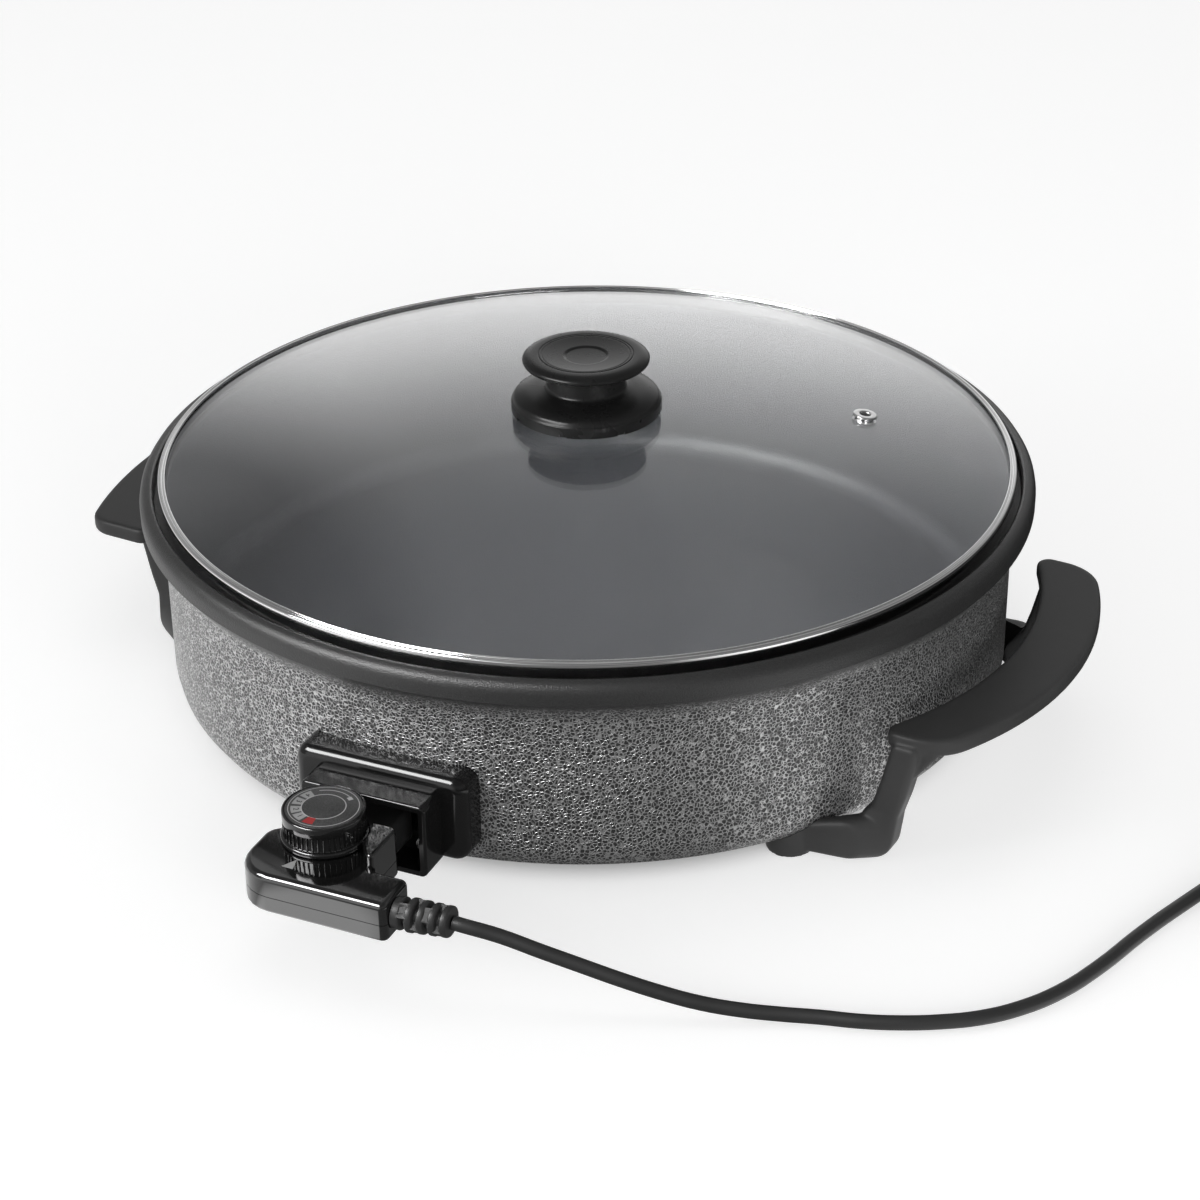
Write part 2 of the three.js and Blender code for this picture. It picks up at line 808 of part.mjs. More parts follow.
// Handles: a crescent grip on two legs, each leg with a foot that reaches under the pan.
function gripOutline({ bow, corner }) {
  const toDegrees = THREE.MathUtils.radToDeg;
  const outerX = gripOuterReach - bow;
  const innerX = gripInnerReach - gripInnerBow;
  const outerRun = bow - corner;
  const innerRun = gripInnerBow + gripInnerCorner;
  const outerY = gripHalfLength - corner;
  const innerY = gripHalfLength - gripInnerCorner;
  const outerTurn = toDegrees(Math.asin(outerY / outerRun));
  const innerTurn = toDegrees(Math.asin(innerY / innerRun));
  const outerCornerX = outerX + Math.sqrt(outerRun ** 2 - outerY ** 2);
  const innerCornerX = innerX + Math.sqrt(innerRun ** 2 - innerY ** 2);
  const half = [
    ...arc(outerX, 0, bow, 0, outerTurn, 5),
    ...arc(outerCornerX, outerY, corner, outerTurn, 90, 4).slice(1),
    ...arc(innerCornerX, innerY, gripInnerCorner, 90, innerTurn + 180, 2),
    ...arc(innerX, 0, gripInnerBow, innerTurn, 0, 5).slice(1),
  ];
  const mirrored = half.slice(1, -1).reverse();
  const all = [...half, ...mirrored.map(([x, y]) => [x, -y])];
  return all.map(([x, y]) => new THREE.Vector2(x, y));
}

// A flat bar with round ends between two points.
function bar([ax, ay], [bx, by], z0, z1) {
  const heading = THREE.MathUtils.radToDeg(Math.atan2(by - ay, bx - ax));
  const outline = [
    ...arc(ax, ay, armHalfWidth, heading + 90, heading + 270, 4),
    ...arc(bx, by, armHalfWidth, heading - 90, heading + 90, 4),
  ].map(([x, y]) => new THREE.Vector2(x, y));
  return prism(outline, z0, z1);
}

function buildHandle(shaping) {
  const { legSide, legInset, elbowInset, elbowSide } = shaping;
  const parts = [prism(gripOutline(shaping), gripTopZ - gripThickness, gripTopZ, gripEdge)];
  const slope = (legTopRadial - legFootRadial) / (legTopZ - legFootZ);
  const section = roundedOutline(
    rectangle(-legWidth / 2, legWidth / 2, -legDepth / 2, legDepth / 2, legCorner),
  );
  const top = gripTopZ - gripThickness / 2;
  for (const side of [-1, 1]) {
    const shape = new THREE.Shape(section);
    const column = new THREE.ExtrudeGeometry(shape, { depth: top - armLift, bevelEnabled: false });
    column.translate(0, 0, armLift - legFootZ);
    column.applyMatrix4(new THREE.Matrix4().makeShear(0, 0, 0, 0, slope, 0));
    column.translate(legFootRadial - legInset, side * legSide, legFootZ);
    const foot = [footRadial, side * footSide];
    const elbow = [wallRadius - elbowInset, side * elbowSide];
    const heel = [legFootRadial - legInset - armSetback, side * legSide];
    const armTop = armLift + armThickness;
    parts.push(
      toSolid(column),
      bar(foot, elbow, armLift, armTop),
      bar(elbow, heel, armLift, armTop),
      rod(footDiameter / 2, 0, footHeight, 20).translate([...foot, 0]),
    );
  }
  let handle = join(parts);
  for (const side of [-1, 1]) {
    const head = rod(footScrewHeadRadius + slideGap, -cutOverrun, footCounterbore, 12);
    const hole = rod(screwRadius + seatGap, 0, footHeight + cutOverrun, 8);
    handle = cut(handle, [head.add(hole).translate([footRadial, side * footSide, 0])]);
  }
  return handle;
}

const panCutter = panShape(seatGap);
for (const shaping of [rightHandle, leftHandle]) {
  const handle = buildHandle(shaping).rotate([0, 0, shaping.turn]).subtract(panCutter);
  place(shaping.name, handle.translate([0, panY, 0]), mattBlack);
}

footPlaces().forEach(([x, y], i) => {
  const face = footCounterbore - seatGap;
  const head = rod(footScrewHeadRadius, face - screwHeadHeight, face, 14);
  const shank = rod(screwRadius, face - screwHeadHeight / 2, footCounterbore + footScrewLength, 10);
  place(`foot_screw_${i + 1}`, head.add(shank).translate([x, y + panY, 0]), steel);
});

// Lid: a shallow glass dome in a steel rim band.
const lid = new THREE.Group();
lid.name = 'lid';
skillet.add(lid);
const domeSteps = 6;

function domeZ(radius) {
  return glassTopZ - glassSphere + Math.sqrt(glassSphere ** 2 - radius ** 2);
}

function buildGlass() {
  const radii = Array.from(
    { length: domeSteps + 1 },
    (_, i) => glassHoleRadius + ((glassRadius - glassHoleRadius) * i) / domeSteps,
  );
  const upper = radii.map((r) => [r, domeZ(r)]);
  const lower = radii.map((r) => [r, domeZ(r) - glassThickness]).reverse();
  const hole = rod(ventHoleRadius, -glassThickness * 2, glassThickness * 2, 12);
  return turned([...upper, ...lower], largeSegments).subtract(atVent(hole));
}

// Something built about +Z, set on the glass at the vent and tipped square to it.
function atVent(solid) {
  const tip = THREE.MathUtils.radToDeg(Math.asin(ventRadial / glassSphere));
  const stood = solid.rotate([0, tip, 0]).translate([ventRadial, 0, domeZ(ventRadial)]);
  return stood.rotate([0, 0, ventAzimuth]);
}

place('lid_glass', buildGlass().translate([0, panY, 0]), glass, lid);

function buildBand() {
  const topZ = rimZ + bandTopRise;
  const skirtInner = bandSkirtRadius - bandWall;
  const glassInner = glassRadius - bandLap;
  const underZ = domeZ(glassInner) + seatGap;
  const edgeZ = domeZ(glassRadius) + seatGap;
  const shelfZ = domeZ(glassRadius) - glassThickness - seatGap;
  const profile = [
    [glassInner, underZ],
    [glassRadius, edgeZ],
    [skirtInner, edgeZ],
    [skirtInner, shelfZ],
    [glassInner, shelfZ],
    [glassInner, shelfZ - bandWall],
    [skirtInner, shelfZ - bandWall],
    [skirtInner, bandBottomZ],
    [bandSkirtRadius, bandBottomZ],
    [bandSkirtRadius, topZ - bandRollHeight],
    [lidBandRadius, topZ - bandRollHeight],
    ...arc(lidBandRadius - bandRoll, topZ - bandRoll, bandRoll, 0, 90, 2),
    [glassInner, Math.max(topZ, underZ + bandWall)],
  ];
  return turned(profile, largeSegments);
}

place('lid_rim_band', buildBand().translate([0, panY, 0]), steel, lid);

function buildVent() {
  const over = ventFlangeThickness + seatGap;
  const bore = ventBoreRadius;
  const barrel = ventHoleRadius - seatGap;
  const profile = [
    [bore, over],
    [ventFlangeRadius, over],
    [ventFlangeRadius, seatGap],
    [barrel, seatGap],
    [barrel, -glassThickness - seatGap],
    [ventFlangeRadius, -glassThickness - seatGap],
    [ventFlangeRadius, -glassThickness - over],
    [bore, -glassThickness - over],
  ];
  return atVent(turned(profile, 12));
}

place('vent_grommet', buildVent().translate([0, panY, 0]), steel, lid);

// Knob: a domed skirt with a neck, a cap above it, and one screw from below.
const knobZ = glassTopZ + gasketThickness + 2 * seatGap;
const capZ = knobZ + knobCapRise;
const spigotRadius = knobNeckRadius - knobNeckWall;

function buildKnobSkirt() {
  const domeTopZ = knobSkirtBand + knobDomeHeight;
  const outer = knobDomeShares.map(([inShare, upShare]) => [
    knobSkirtRadius - (knobSkirtRadius - knobNeckRadius) * inShare,
    knobSkirtBand + (domeTopZ - knobSkirtBand) * upShare,
  ]);
  const inner = outer
    .map(([r, z]) => [r - knobSkirtWall, z - knobSkirtWall])
    .filter(([r]) => r > gasketRadius + knobSkirtWall)
    .reverse();
  const profile = [
    [knobBoreRadius, 0],
    [gasketRadius, 0],
    [gasketRadius, domeTopZ - 2 * knobSkirtWall],
    ...inner,
    [knobSkirtRadius - knobSkirtWall, 0],
    [knobSkirtRadius, 0],
    ...outer,
    [knobNeckRadius, knobCapRise - seatGap],
    [spigotRadius + seatGap, knobCapRise - seatGap],
    [spigotRadius + seatGap, knobSocketFloor],
    [knobBoreRadius, knobSocketFloor],
  ];
  return turned(profile, 24).translate([0, 0, knobZ]);
}

function buildKnobCap() {
  const top = knobCapHeight - knobCapRise;
  const edge = knobCapEdge;
  const foot = knobSocketFloor + seatGap - knobCapRise;
  const insert = knobInsertRadius + seatGap;
  const profile = [
    [0, foot + knobInsertLength + seatGap],
    [insert, foot + knobInsertLength + seatGap],
    [insert, foot],
    [spigotRadius, foot],
    [spigotRadius, 0],
    [knobCapRadius - edge, 0],
    ...arc(knobCapRadius - edge, edge, edge, -60, 60, 4),
    [knobCapRadius - 2 * edge, top - edge / 2],
    [knobCapRadius / 2, top],
    [0, top],
  ];
  return turned(profile, 24).translate([0, 0, capZ]);
}

const aboutPan = (solid) => solid.translate([0, panY, 0]);
place('knob_skirt', aboutPan(buildKnobSkirt()), glossBlack, lid);
place('knob_cap', aboutPan(buildKnobCap()), glossBlack, lid);

function ringOf(outer, inner, z0, z1, segments = 16) {
  return turned([[inner, z0], [outer, z0], [outer, z1], [inner, z1]], segments);
}

const glassUnderZ = glassTopZ - glassThickness;
const lowerGasketZ = glassUnderZ - seatGap - gasketThickness;
const washerZ = lowerGasketZ - seatGap - washerThickness;
const upperGasket = ringOf(gasketRadius, knobBoreRadius, glassTopZ + seatGap, knobZ - seatGap);
const lowerGasket = ringOf(gasketRadius, knobBoreRadius, lowerGasketZ, glassUnderZ - seatGap);
const washer = ringOf(washerRadius, knobBoreRadius, washerZ, lowerGasketZ - seatGap);
place('gasket_upper', aboutPan(upperGasket), rubber, lid);
place('gasket_lower', aboutPan(lowerGasket), rubber, lid);
place('knob_washer', aboutPan(washer), steel, lid);

const insertZ = knobZ + knobSocketFloor + seatGap;
const insertBore = screwRadius + seatGap;
const insert = ringOf(knobInsertRadius, insertBore, insertZ, insertZ + knobInsertLength, 14);
place('knob_insert', aboutPan(insert), brass, lid);

const knobHeadZ = washerZ - seatGap - knobScrewHeadHeight;
const knobHead = rod(knobScrewHeadRadius, knobHeadZ, knobHeadZ + knobScrewHeadHeight, 16);
const knobShank = rod(
  screwRadius,
  knobHeadZ + knobScrewHeadHeight / 2,
  insertZ + knobInsertLength - seatGap,
  12,
);
place('knob_screw', aboutPan(knobHead.add(knobShank)), steel, lid);

// Controller: two hollow shells round a nose that plugs into the hood.
const controller = new THREE.Group();
controller.name = 'controller';
skillet.add(controller);

function controllerOutline(inset) {
  const corners = [
    [-controllerLeft, -controllerFront, controllerRound],
    [controllerRight, -controllerFront, controllerCorner],
    [controllerRight, -controllerBack, controllerCorner],
    [neckRight, -controllerBack, controllerHollow],
    [neckRight, -neckEnd, controllerCorner],
    [-neckLeft, -neckEnd, controllerCorner],
    [-neckLeft, -controllerNape, controllerHollow],
    [-controllerLeft, -controllerShoulder, controllerHollow],
  ];
  return roundedOutline(corners, inset);
}

function controllerBody() {
  const body = prism(controllerOutline(0), controllerBottomZ, controllerTopZ, controllerEdge);
  const neckBox = rectangle(-neckLeft, neckRight, -controllerBack, -neckEnd, controllerCorner);
  const neck = prism(
    roundedOutline(neckBox),
    controllerSeamZ,
    controllerTopZ + neckRise,
    controllerEdge,
  );
  const recess = rod(dialRecess, controllerTopZ, controllerTopZ + dialHeight, 28);
  const cavity = prism(
    controllerOutline(controllerWall),
    controllerBottomZ + controllerWall,
    controllerTopZ - controllerWall,
  );
  return cut(body.add(neck), [recess.translate([dialX, -dialY, 0]), cavity]);
}

function noseBox(grow) {
  return roundedOutline(
    rectangle(
      housingX - noseHalfWidth,
      housingX + noseHalfWidth,
      noseBottomZ,
      noseTopZ,
      noseCorner,
    ),
    -grow,
  );
}

function buildShells() {
  const wide = controllerFront;
  const seam = controllerSeamZ;
  const below = block(-wide, wide, -wide - cutOverrun, 0, 0, seam);
  const above = block(-wide, wide, -wide - cutOverrun, 0, seam + seatGap, rimZ);
  const body = controllerBody();
  const ceiling = controllerTopZ - controllerWall;
  const floor = controllerBottomZ + controllerWall;
  const ways = [
    prismY(noseBox(seatGap), -(neckEnd + controllerWall + cutOverrun), -(neckEnd - cutOverrun)),
    rodX(
      reliefNeckRadius + seatGap,
      -reliefY,
      reliefZ,
      controllerRight - controllerWall - cutOverrun,
      controllerRight + cutOverrun,
    ),
    rod(dialShaftRadius + slideGap, ceiling - cutOverrun, controllerTopZ + cutOverrun).translate([
      dialX,
      -dialY,
      0,
    ]),
  ];
  let top = cut(body.intersect(above), ways);
  let bottom = cut(body.intersect(below), ways);
  for (const [x, y] of shellScrewPlaces) {
    const lower = rod(shellPostRadius, floor - controllerWall / 2, seam, 14);
    const upper = rod(shellPostRadius, seam + seatGap, ceiling + controllerWall / 2, 14);
    const headWay = rod(
      shellHeadRadius + seatGap,
      controllerBottomZ - cutOverrun,
      controllerBottomZ + 2 * shellHeadHeight,
      12,
    );
    const lowWay = rod(shellScrewRadius + seatGap, controllerBottomZ, seam + cutOverrun, 10);
    const tip = controllerBottomZ + 2 * shellHeadHeight + shellScrewLength + seatGap;
    const highWay = rod(shellScrewRadius + seatGap, seam, tip, 10);
    const at = (solid) => solid.translate([x, -y, 0]);
    bottom = bottom.add(at(lower)).subtract(at(headWay.add(lowWay)));
    top = top.add(at(upper)).subtract(at(highWay));
  }
  return { top, bottom };
}

function rodX(radius, y, z, x0, x1, segments = 16) {
  const geometry = new THREE.CylinderGeometry(radius, radius, x1 - x0, segments);
  return toSolid(geometry.rotateZ(Math.PI / 2).translate((x0 + x1) / 2, y, z));
}

const shells = buildShells();
place('controller_top_shell', aboutPan(shells.top), glossBlack, controller);
place('controller_bottom_shell', aboutPan(shells.bottom), glossBlack, controller);

shellScrewPlaces.forEach(([x, y], i) => {
  const headTop = controllerBottomZ + 2 * shellHeadHeight - seatGap;
  const head = rod(shellHeadRadius, headTop - shellHeadHeight, headTop, 12);
  const shank = rod(shellScrewRadius, headTop - shellHeadHeight / 2, headTop + shellScrewLength, 10);
  const screw = aboutPan(head.add(shank).translate([x, -y, 0]));
  place(`shell_screw_${i + 1}`, screw, steel, controller);
});

const sleeveRadius = pinDiameter / 2 + slideGap + sleeveWall;

function buildNose() {
  const inner = neckEnd + controllerWall + seatGap;
  const front = prismY(noseBox(0), -inner, -noseEnd);
  const tabs = block(
    housingX - noseHalfWidth - noseTab,
    housingX + noseHalfWidth + noseTab,
    -(inner + noseTabDepth),
    -inner,
    controllerBottomZ + controllerWall + seatGap,
    controllerTopZ - controllerWall - seatGap,
  );
  const ways = [
    rodY(probeDiameter / 2 + seatGap, housingX, socketZ, -noseEnd + cutOverrun, -controllerBack),
  ];
  for (const side of [-1, 1]) {
    const x = housingX + (side * pinSpacing) / 2;
    const depth = noseEnd + sleeveInset + sleeveLength + seatGap;
    ways.push(rodY(sleeveRadius + seatGap, x, socketZ, -noseEnd + cutOverrun, -depth));
  }
  return cut(front.add(tabs), ways);
}

place('controller_nose', aboutPan(buildNose()), mattBlack, controller);

[-1, 1].forEach((side) => {
  const x = housingX + (side * pinSpacing) / 2;
  const start = noseEnd + sleeveInset;
  const outer = rodY(sleeveRadius, x, socketZ, -start, -(start + sleeveLength));
  const bore = rodY(
    pinDiameter / 2 + slideGap,
    x,
    socketZ,
    -start + cutOverrun,
    -(start + sleeveLength - sleeveWall),
  );
  const sleeve = aboutPan(outer.subtract(bore));
  place(side < 0 ? 'contact_sleeve_left' : 'contact_sleeve_right', sleeve, brass, controller);
});

function buildProbe() {
  const radius = probeDiameter / 2;
  const length = probeTail - probeTip;
  const profile = [[0, 0], [radius, 0], [radius, length - radius / 2], [radius / 2, length],
    [0, length]];
  const rodUp = turned(profile, 16);
  return rodUp.rotate([-90, 0, 0]).translate([housingX, -probeTail, socketZ]);
}

place('probe_rod', aboutPan(buildProbe()), steel, controller);

const mechanismZ = controllerBottomZ + controllerWall + seatGap;
const mechanismY = probeTail + seatGap;
const mechanism = block(
  mechanismX - mechanismWidth / 2,
  mechanismX + mechanismWidth / 2,
  -(mechanismY + mechanismDepth),
  -mechanismY,
  mechanismZ,
  mechanismZ + mechanismHeight,
);
place('thermostat_mechanism', aboutPan(mechanism), ceramic, controller);

// Dial: a ribbed cap on a shaft, with a printed plate let into its top.
const dialZ = controllerTopZ + seatGap;
const dialTopZ = dialZ + dialHeight;

function ribbedOutline() {
  const steps = dialRibCount * 2;
  return Array.from({ length: steps }, (_, i) => {
    const a = (2 * Math.PI * i) / steps;
    const radius = i % 2 === 0 ? dialRadius : dialRadius - dialRibDepth;
    return new THREE.Vector2(radius * Math.cos(a), radius * Math.sin(a));
  });
}

function buildDial() {
  const ribTopZ = dialZ + dialBaseHeight + dialRibHeight;
  const base = rod(dialBaseRadius, dialZ, dialZ + dialBaseHeight, 28);
  const ribs = prism(ribbedOutline(), dialZ + dialBaseHeight / 2, ribTopZ);
  const crown = rod(dialRadius, ribTopZ - dialRibDepth, dialTopZ, 28);
  const plateWay = rod(
    dialPlateRadius + seatGap,
    dialTopZ - dialPlateThickness - seatGap,
    dialTopZ + cutOverrun,
    24,
  );
  const hollow = ringOf(
    dialHollowRadius,
    dialHubRadius,
    dialZ - cutOverrun,
    dialZ + dialHollowDepth,
    16,
  );
  const bore = rod(dialShaftRadius + seatGap, dialZ - cutOverrun, dialZ + dialBoreDepth + seatGap);
  return cut(join([base, ribs, crown]), [plateWay, hollow, bore]);
}

const atDial = (solid) => solid.translate([dialX, panY - dialY, 0]);
place('dial', atDial(buildDial()), glossBlack, controller);
const plate = rod(dialPlateRadius, dialTopZ - dialPlateThickness, dialTopZ, 24);
place('dial_plate', atDial(plate), plateGrey, controller);
const shaft = rod(dialShaftRadius, controllerTopZ - dialShaftSink, dialZ + dialBoreDepth, 16);
place('dial_shaft', atDial(shaft), steel, controller);
const clipZ = controllerTopZ - controllerWall - slideGap - dialClipThickness;
const clip = ringOf(dialClipRadius, dialShaftRadius + seatGap, clipZ, clipZ + dialClipThickness, 16);
place('dial_clip', atDial(clip), steel, controller);

// Strain relief: rings on a core, leaning the way the cord leaves.
function buildRelief() {
  const wallIn = controllerWall + seatGap;
  const anchor = turned(
    [
      [0, -wallIn - reliefFlangeThickness],
      [reliefFlangeRadius, -wallIn - reliefFlangeThickness],
      [reliefFlangeRadius, -wallIn],
      [reliefNeckRadius, -wallIn],
      [reliefNeckRadius, 2 * seatGap],
      [0, 2 * seatGap],
    ],
    12,
  );
  const profile = [[0, seatGap]];
  const rootLength = reliefLength * reliefRootShare;
  const pitch = (reliefLength - rootLength) / reliefRings;
  const radiusAt = (x) =>
    reliefRootRadius + ((reliefTipRadius - reliefRootRadius) * x) / reliefLength;
  profile.push([radiusAt(0), seatGap], [radiusAt(rootLength), rootLength]);
  for (let i = 0; i < reliefRings; i += 1) {
    const start = rootLength + i * pitch;
    const mid = start + pitch / 2;
    profile.push([reliefCoreRadius, start], [reliefCoreRadius, mid]);
    profile.push([radiusAt(mid), mid], [radiusAt(start + pitch), start + pitch]);
  }
  profile.push([0, reliefLength]);
  const lean = [reliefDrift / reliefLength, -reliefFall / reliefLength];
  const rings = turned(profile, 12)
    .rotate([0, 90, 0])
    .transform([1, lean[0], lean[1], 0, 0, 1, 0, 0, 0, 0, 1, 0, 0, 0, 0, 1]);
  return anchor
    .rotate([0, 90, 0])
    .add(rings)
    .translate([controllerRight, -reliefY, reliefZ]);
}

place('strain_relief', aboutPan(buildRelief()), rubber, controller);

// Cord: a lead over the floor, a tied coil and a tail with the plug.
const coilZ = coilLift + cordDiameter / 2;
const leadPoints = [
  [60.6, -236.0, 34.7],
  [64.6, -235.6, 34.2],
  [79.4, -231.6, 30.4],
  [95.8, -228.4, 25.5],
  [112, -224.9, 20.6],
  [128.3, -221.7, 16],
  [144.3, -217.9, 11.6],
  [160.1, -213.7, 8],
  [175.5, -208.7, 5.6],
  [190.8, -203, 4],
  [206.1, -198, 3.5],
  [221.9, -194.1, 3.4],
  [237.1, -188.8, 3.4],
  [251.7, -181.9, 3.4],
  [265.8, -173, 3.4],
  [278.8, -160.6, 3.4],
  [290.7, -143.6, 3.4],
  [301.2, -120.1, 3.4],
  [310.8, -91.8, 3.4],
  [320.6, -66.5, 3.4],
];

// Coil centreline: in and out again at one rate, climbing a layer where it turns back.
function coilPoints() {
  const steps = Math.round(coilTurns * coilStepsPerTurn);
  const turnBack = coilTurns / 2;
  const start = 90 + coilHeading;
  const at = (turn) => {
    const radius = coilOuterRadius - coilPitch * (turnBack - Math.abs(turn - turnBack));
    const a = THREE.MathUtils.degToRad(start - turn * 360);
    const climb = THREE.MathUtils.smoothstep(turn, turnBack - 0.25, turnBack + 0.25);
    return new THREE.Vector3(
      coilX + radius * Math.cos(a),
      coilY + radius * Math.sin(a),
      coilZ + coilLayerRise * climb,
    );
  };
  const points = Array.from({ length: steps + 1 }, (_, i) => at((i * coilTurns) / steps));
  const first = points[0].clone().sub(points[1]).setZ(0).normalize();
  const last = points[steps].clone().sub(points[steps - 1]).setZ(0).normalize();
  points.unshift(points[0].clone().addScaledVector(first, cordDiameter));
  points.push(points[steps + 1].clone().addScaledVector(last, cordDiameter));
  return { points, first, last };
}

function leastSelfGap(points) {
  const path = new THREE.CatmullRomCurve3(points, false, 'centripetal');
  const samples = path.getSpacedPoints(1200);
  const spacing = path.getLength() / 1200;
  const skip = Math.ceil((2.5 * cordDiameter) / spacing);
  let least = Infinity;
  for (let i = 0; i < samples.length; i += 1) {
    for (let k = i + skip; k < samples.length; k += 1) {
      least = Math.min(least, samples[i].distanceTo(samples[k]));
    }
  }
  return least - cordDiameter;
}

const coil = coilPoints();
console.log(`coil: least gap to itself ${leastSelfGap(coil.points).toFixed(2)} mm`);
const coilStart = coil.points[0].clone().addScaledVector(coil.first, cordJoint);
const coilEnd = coil.points[coil.points.length - 1].clone().addScaledVector(coil.last, cordJoint);
const lead = leadPoints.map((p) => new THREE.Vector3(...p));
const straight = coilStart.clone().addScaledVector(coil.first, cordDiameter);
lead.push(straight, coilStart);
place('cord_lead', tube(lead, cordDiameter, cordSides, 28), rubber, controller);
const coilSteps = Math.round(coilTurns * coilStepsPerTurn) + 2;
place('cord_coil', tube(coil.points, cordDiameter, coilSides, coilSteps), rubber, controller);

const plugYaw = THREE.MathUtils.radToDeg(Math.atan2(coil.last.y, coil.last.x));
const plugStart = coilEnd.clone().addScaledVector(coil.last, tailLength).setZ(plugFlat);
const tailEnd = plugStart.clone().addScaledVector(coil.last, -cordJoint);
const tail = [
  coilEnd,
  coilEnd.clone().addScaledVector(coil.last, cordDiameter),
  tailEnd.clone().addScaledVector(coil.last, -cordDiameter),
  tailEnd,
];
place('cord_tail', tube(tail, cordDiameter, cordSides, 6), rubber, controller);

function buildTie() {
  const radii = [];
  const a = THREE.MathUtils.degToRad(tieAzimuth);
  for (const p of coil.points) {
    const away = Math.atan2(p.y - coilY, p.x - coilX) - a;
    if (Math.cos(away) > Math.cos((2 * Math.PI) / coilStepsPerTurn)) {
      radii.push(Math.hypot(p.x - coilX, p.y - coilY));
    }
  }
  const half = cordDiameter / 2 + tieGap;
  const [r0, r1] = [Math.min(...radii) - half, Math.max(...radii) + half];
  const [z0, z1] = [coilZ - half, coilZ + coilLayerRise + half];
  const inner = roundedOutline(rectangle(r0, r1, z0, z1, tieThickness));
  const outer = roundedOutline(rectangle(r0, r1, z0, z1, tieThickness), -tieThickness);
  const ring = prismY(outer, -tieWidth / 2, tieWidth / 2).subtract(
    prismY(inner, -tieWidth, tieWidth),
  );
  return ring.rotate([0, 0, tieAzimuth]).translate([coilX, coilY, 0]);
}

place('cord_tie', buildTie(), rubber, controller);

// Plug, lying on one of its flats.
function atPlug(solid) {
  const turned90 = solid.rotate([0, 90, 0]);
  return turned90.rotate([0, 0, plugYaw]).translate([plugStart.x, plugStart.y, plugFlat]);
}

const plugLength = plugReliefLength + plugShoulder + plugBodyLength;

function buildPlug() {
  const profile = [
    [0, 0],
    [plugReliefTip, 0],
    [plugReliefRoot, plugReliefLength],
    [plugRadius - plugShoulder / 2, plugReliefLength + plugShoulder / 3],
    [plugRadius, plugReliefLength + plugShoulder],
    [plugRadius, plugLength],
    [0, plugLength],
  ];
  const wide = plugRadius + cutOverrun;
  const ways = [
    block(-wide, -plugFlat, -wide, wide, 0, plugLength),
    block(plugFlat, wide, -wide, wide, 0, plugLength),
  ];
  for (const side of [-1, 1]) {
    const pinWay = rod(
      plugPinRadius + seatGap,
      plugLength - plugPinSink - seatGap,
      plugLength + cutOverrun,
    );
    ways.push(pinWay.translate([0, (side * plugPinSpacing) / 2, 0]));
    const half = earthClipWidth / 2 + seatGap;
    const inX = side * (plugFlat - earthClipSink - earthClipThickness);
    const outX = side * wide;
    ways.push(
      block(Math.min(inX, outX), Math.max(inX, outX), -half, half,
        plugLength - earthClipLength - seatGap, plugLength + cutOverrun),
    );
  }
  return cut(turned(profile, 24), ways);
}

place('plug_body', atPlug(buildPlug()), rubber, controller);
[-1, 1].forEach((side) => {
  const end = side < 0 ? 'left' : 'right';
  const pin = rod(plugPinRadius, plugLength - plugPinSink, plugLength + plugPinLength);
  const pinPlace = pin.translate([0, (side * plugPinSpacing) / 2, 0]);
  place(`plug_pin_${end}`, atPlug(pinPlace), steel, controller);
  const low = plugFlat - earthClipSink - earthClipThickness + seatGap;
  const faces = [side * low, side * (low + earthClipThickness)].sort((a, b) => a - b);
  const half = earthClipWidth / 2;
  const clipBlock = block(faces[0], faces[1], -half, half, plugLength - earthClipLength, plugLength);
  place(`plug_earth_clip_${side < 0 ? 'upper' : 'lower'}`, atPlug(clipBlock), steel, controller);
});

export default skillet;
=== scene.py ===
"""Electric skillet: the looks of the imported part, its pieces in the order they are put together."""

import json
import math

import bmesh
import bpy
from mathutils import Matrix, Quaternion, Vector

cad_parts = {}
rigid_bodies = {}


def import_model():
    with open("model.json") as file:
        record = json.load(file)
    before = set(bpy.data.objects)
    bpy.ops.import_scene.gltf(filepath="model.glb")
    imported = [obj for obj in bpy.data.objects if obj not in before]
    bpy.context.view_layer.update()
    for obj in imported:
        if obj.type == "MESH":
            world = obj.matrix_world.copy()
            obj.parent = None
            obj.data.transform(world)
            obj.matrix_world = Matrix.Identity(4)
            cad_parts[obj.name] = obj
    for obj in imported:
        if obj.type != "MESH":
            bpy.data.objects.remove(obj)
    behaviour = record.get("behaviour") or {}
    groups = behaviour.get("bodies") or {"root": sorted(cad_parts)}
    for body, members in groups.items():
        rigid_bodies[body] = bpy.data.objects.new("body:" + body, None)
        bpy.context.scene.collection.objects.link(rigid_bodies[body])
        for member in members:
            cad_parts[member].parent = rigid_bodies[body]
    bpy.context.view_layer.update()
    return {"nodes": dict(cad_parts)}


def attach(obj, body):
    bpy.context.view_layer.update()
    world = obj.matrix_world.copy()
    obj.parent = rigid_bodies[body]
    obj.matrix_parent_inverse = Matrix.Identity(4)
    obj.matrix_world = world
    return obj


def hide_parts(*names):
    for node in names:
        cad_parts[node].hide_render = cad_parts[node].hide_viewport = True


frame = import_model()
nodes = frame["nodes"]
scene = bpy.context.scene
scene.view_settings.view_transform = "Standard"


# Camera
# It stands in front of the skillet, to the right and about 29 degrees above it, and is turned
# a little about its own axis.
camera_place = Vector((0.50518, -1.07967, 0.70961))
camera_aim = Vector((0.00476, 0.03903, 0.03277))
camera_roll = math.radians(-0.69)

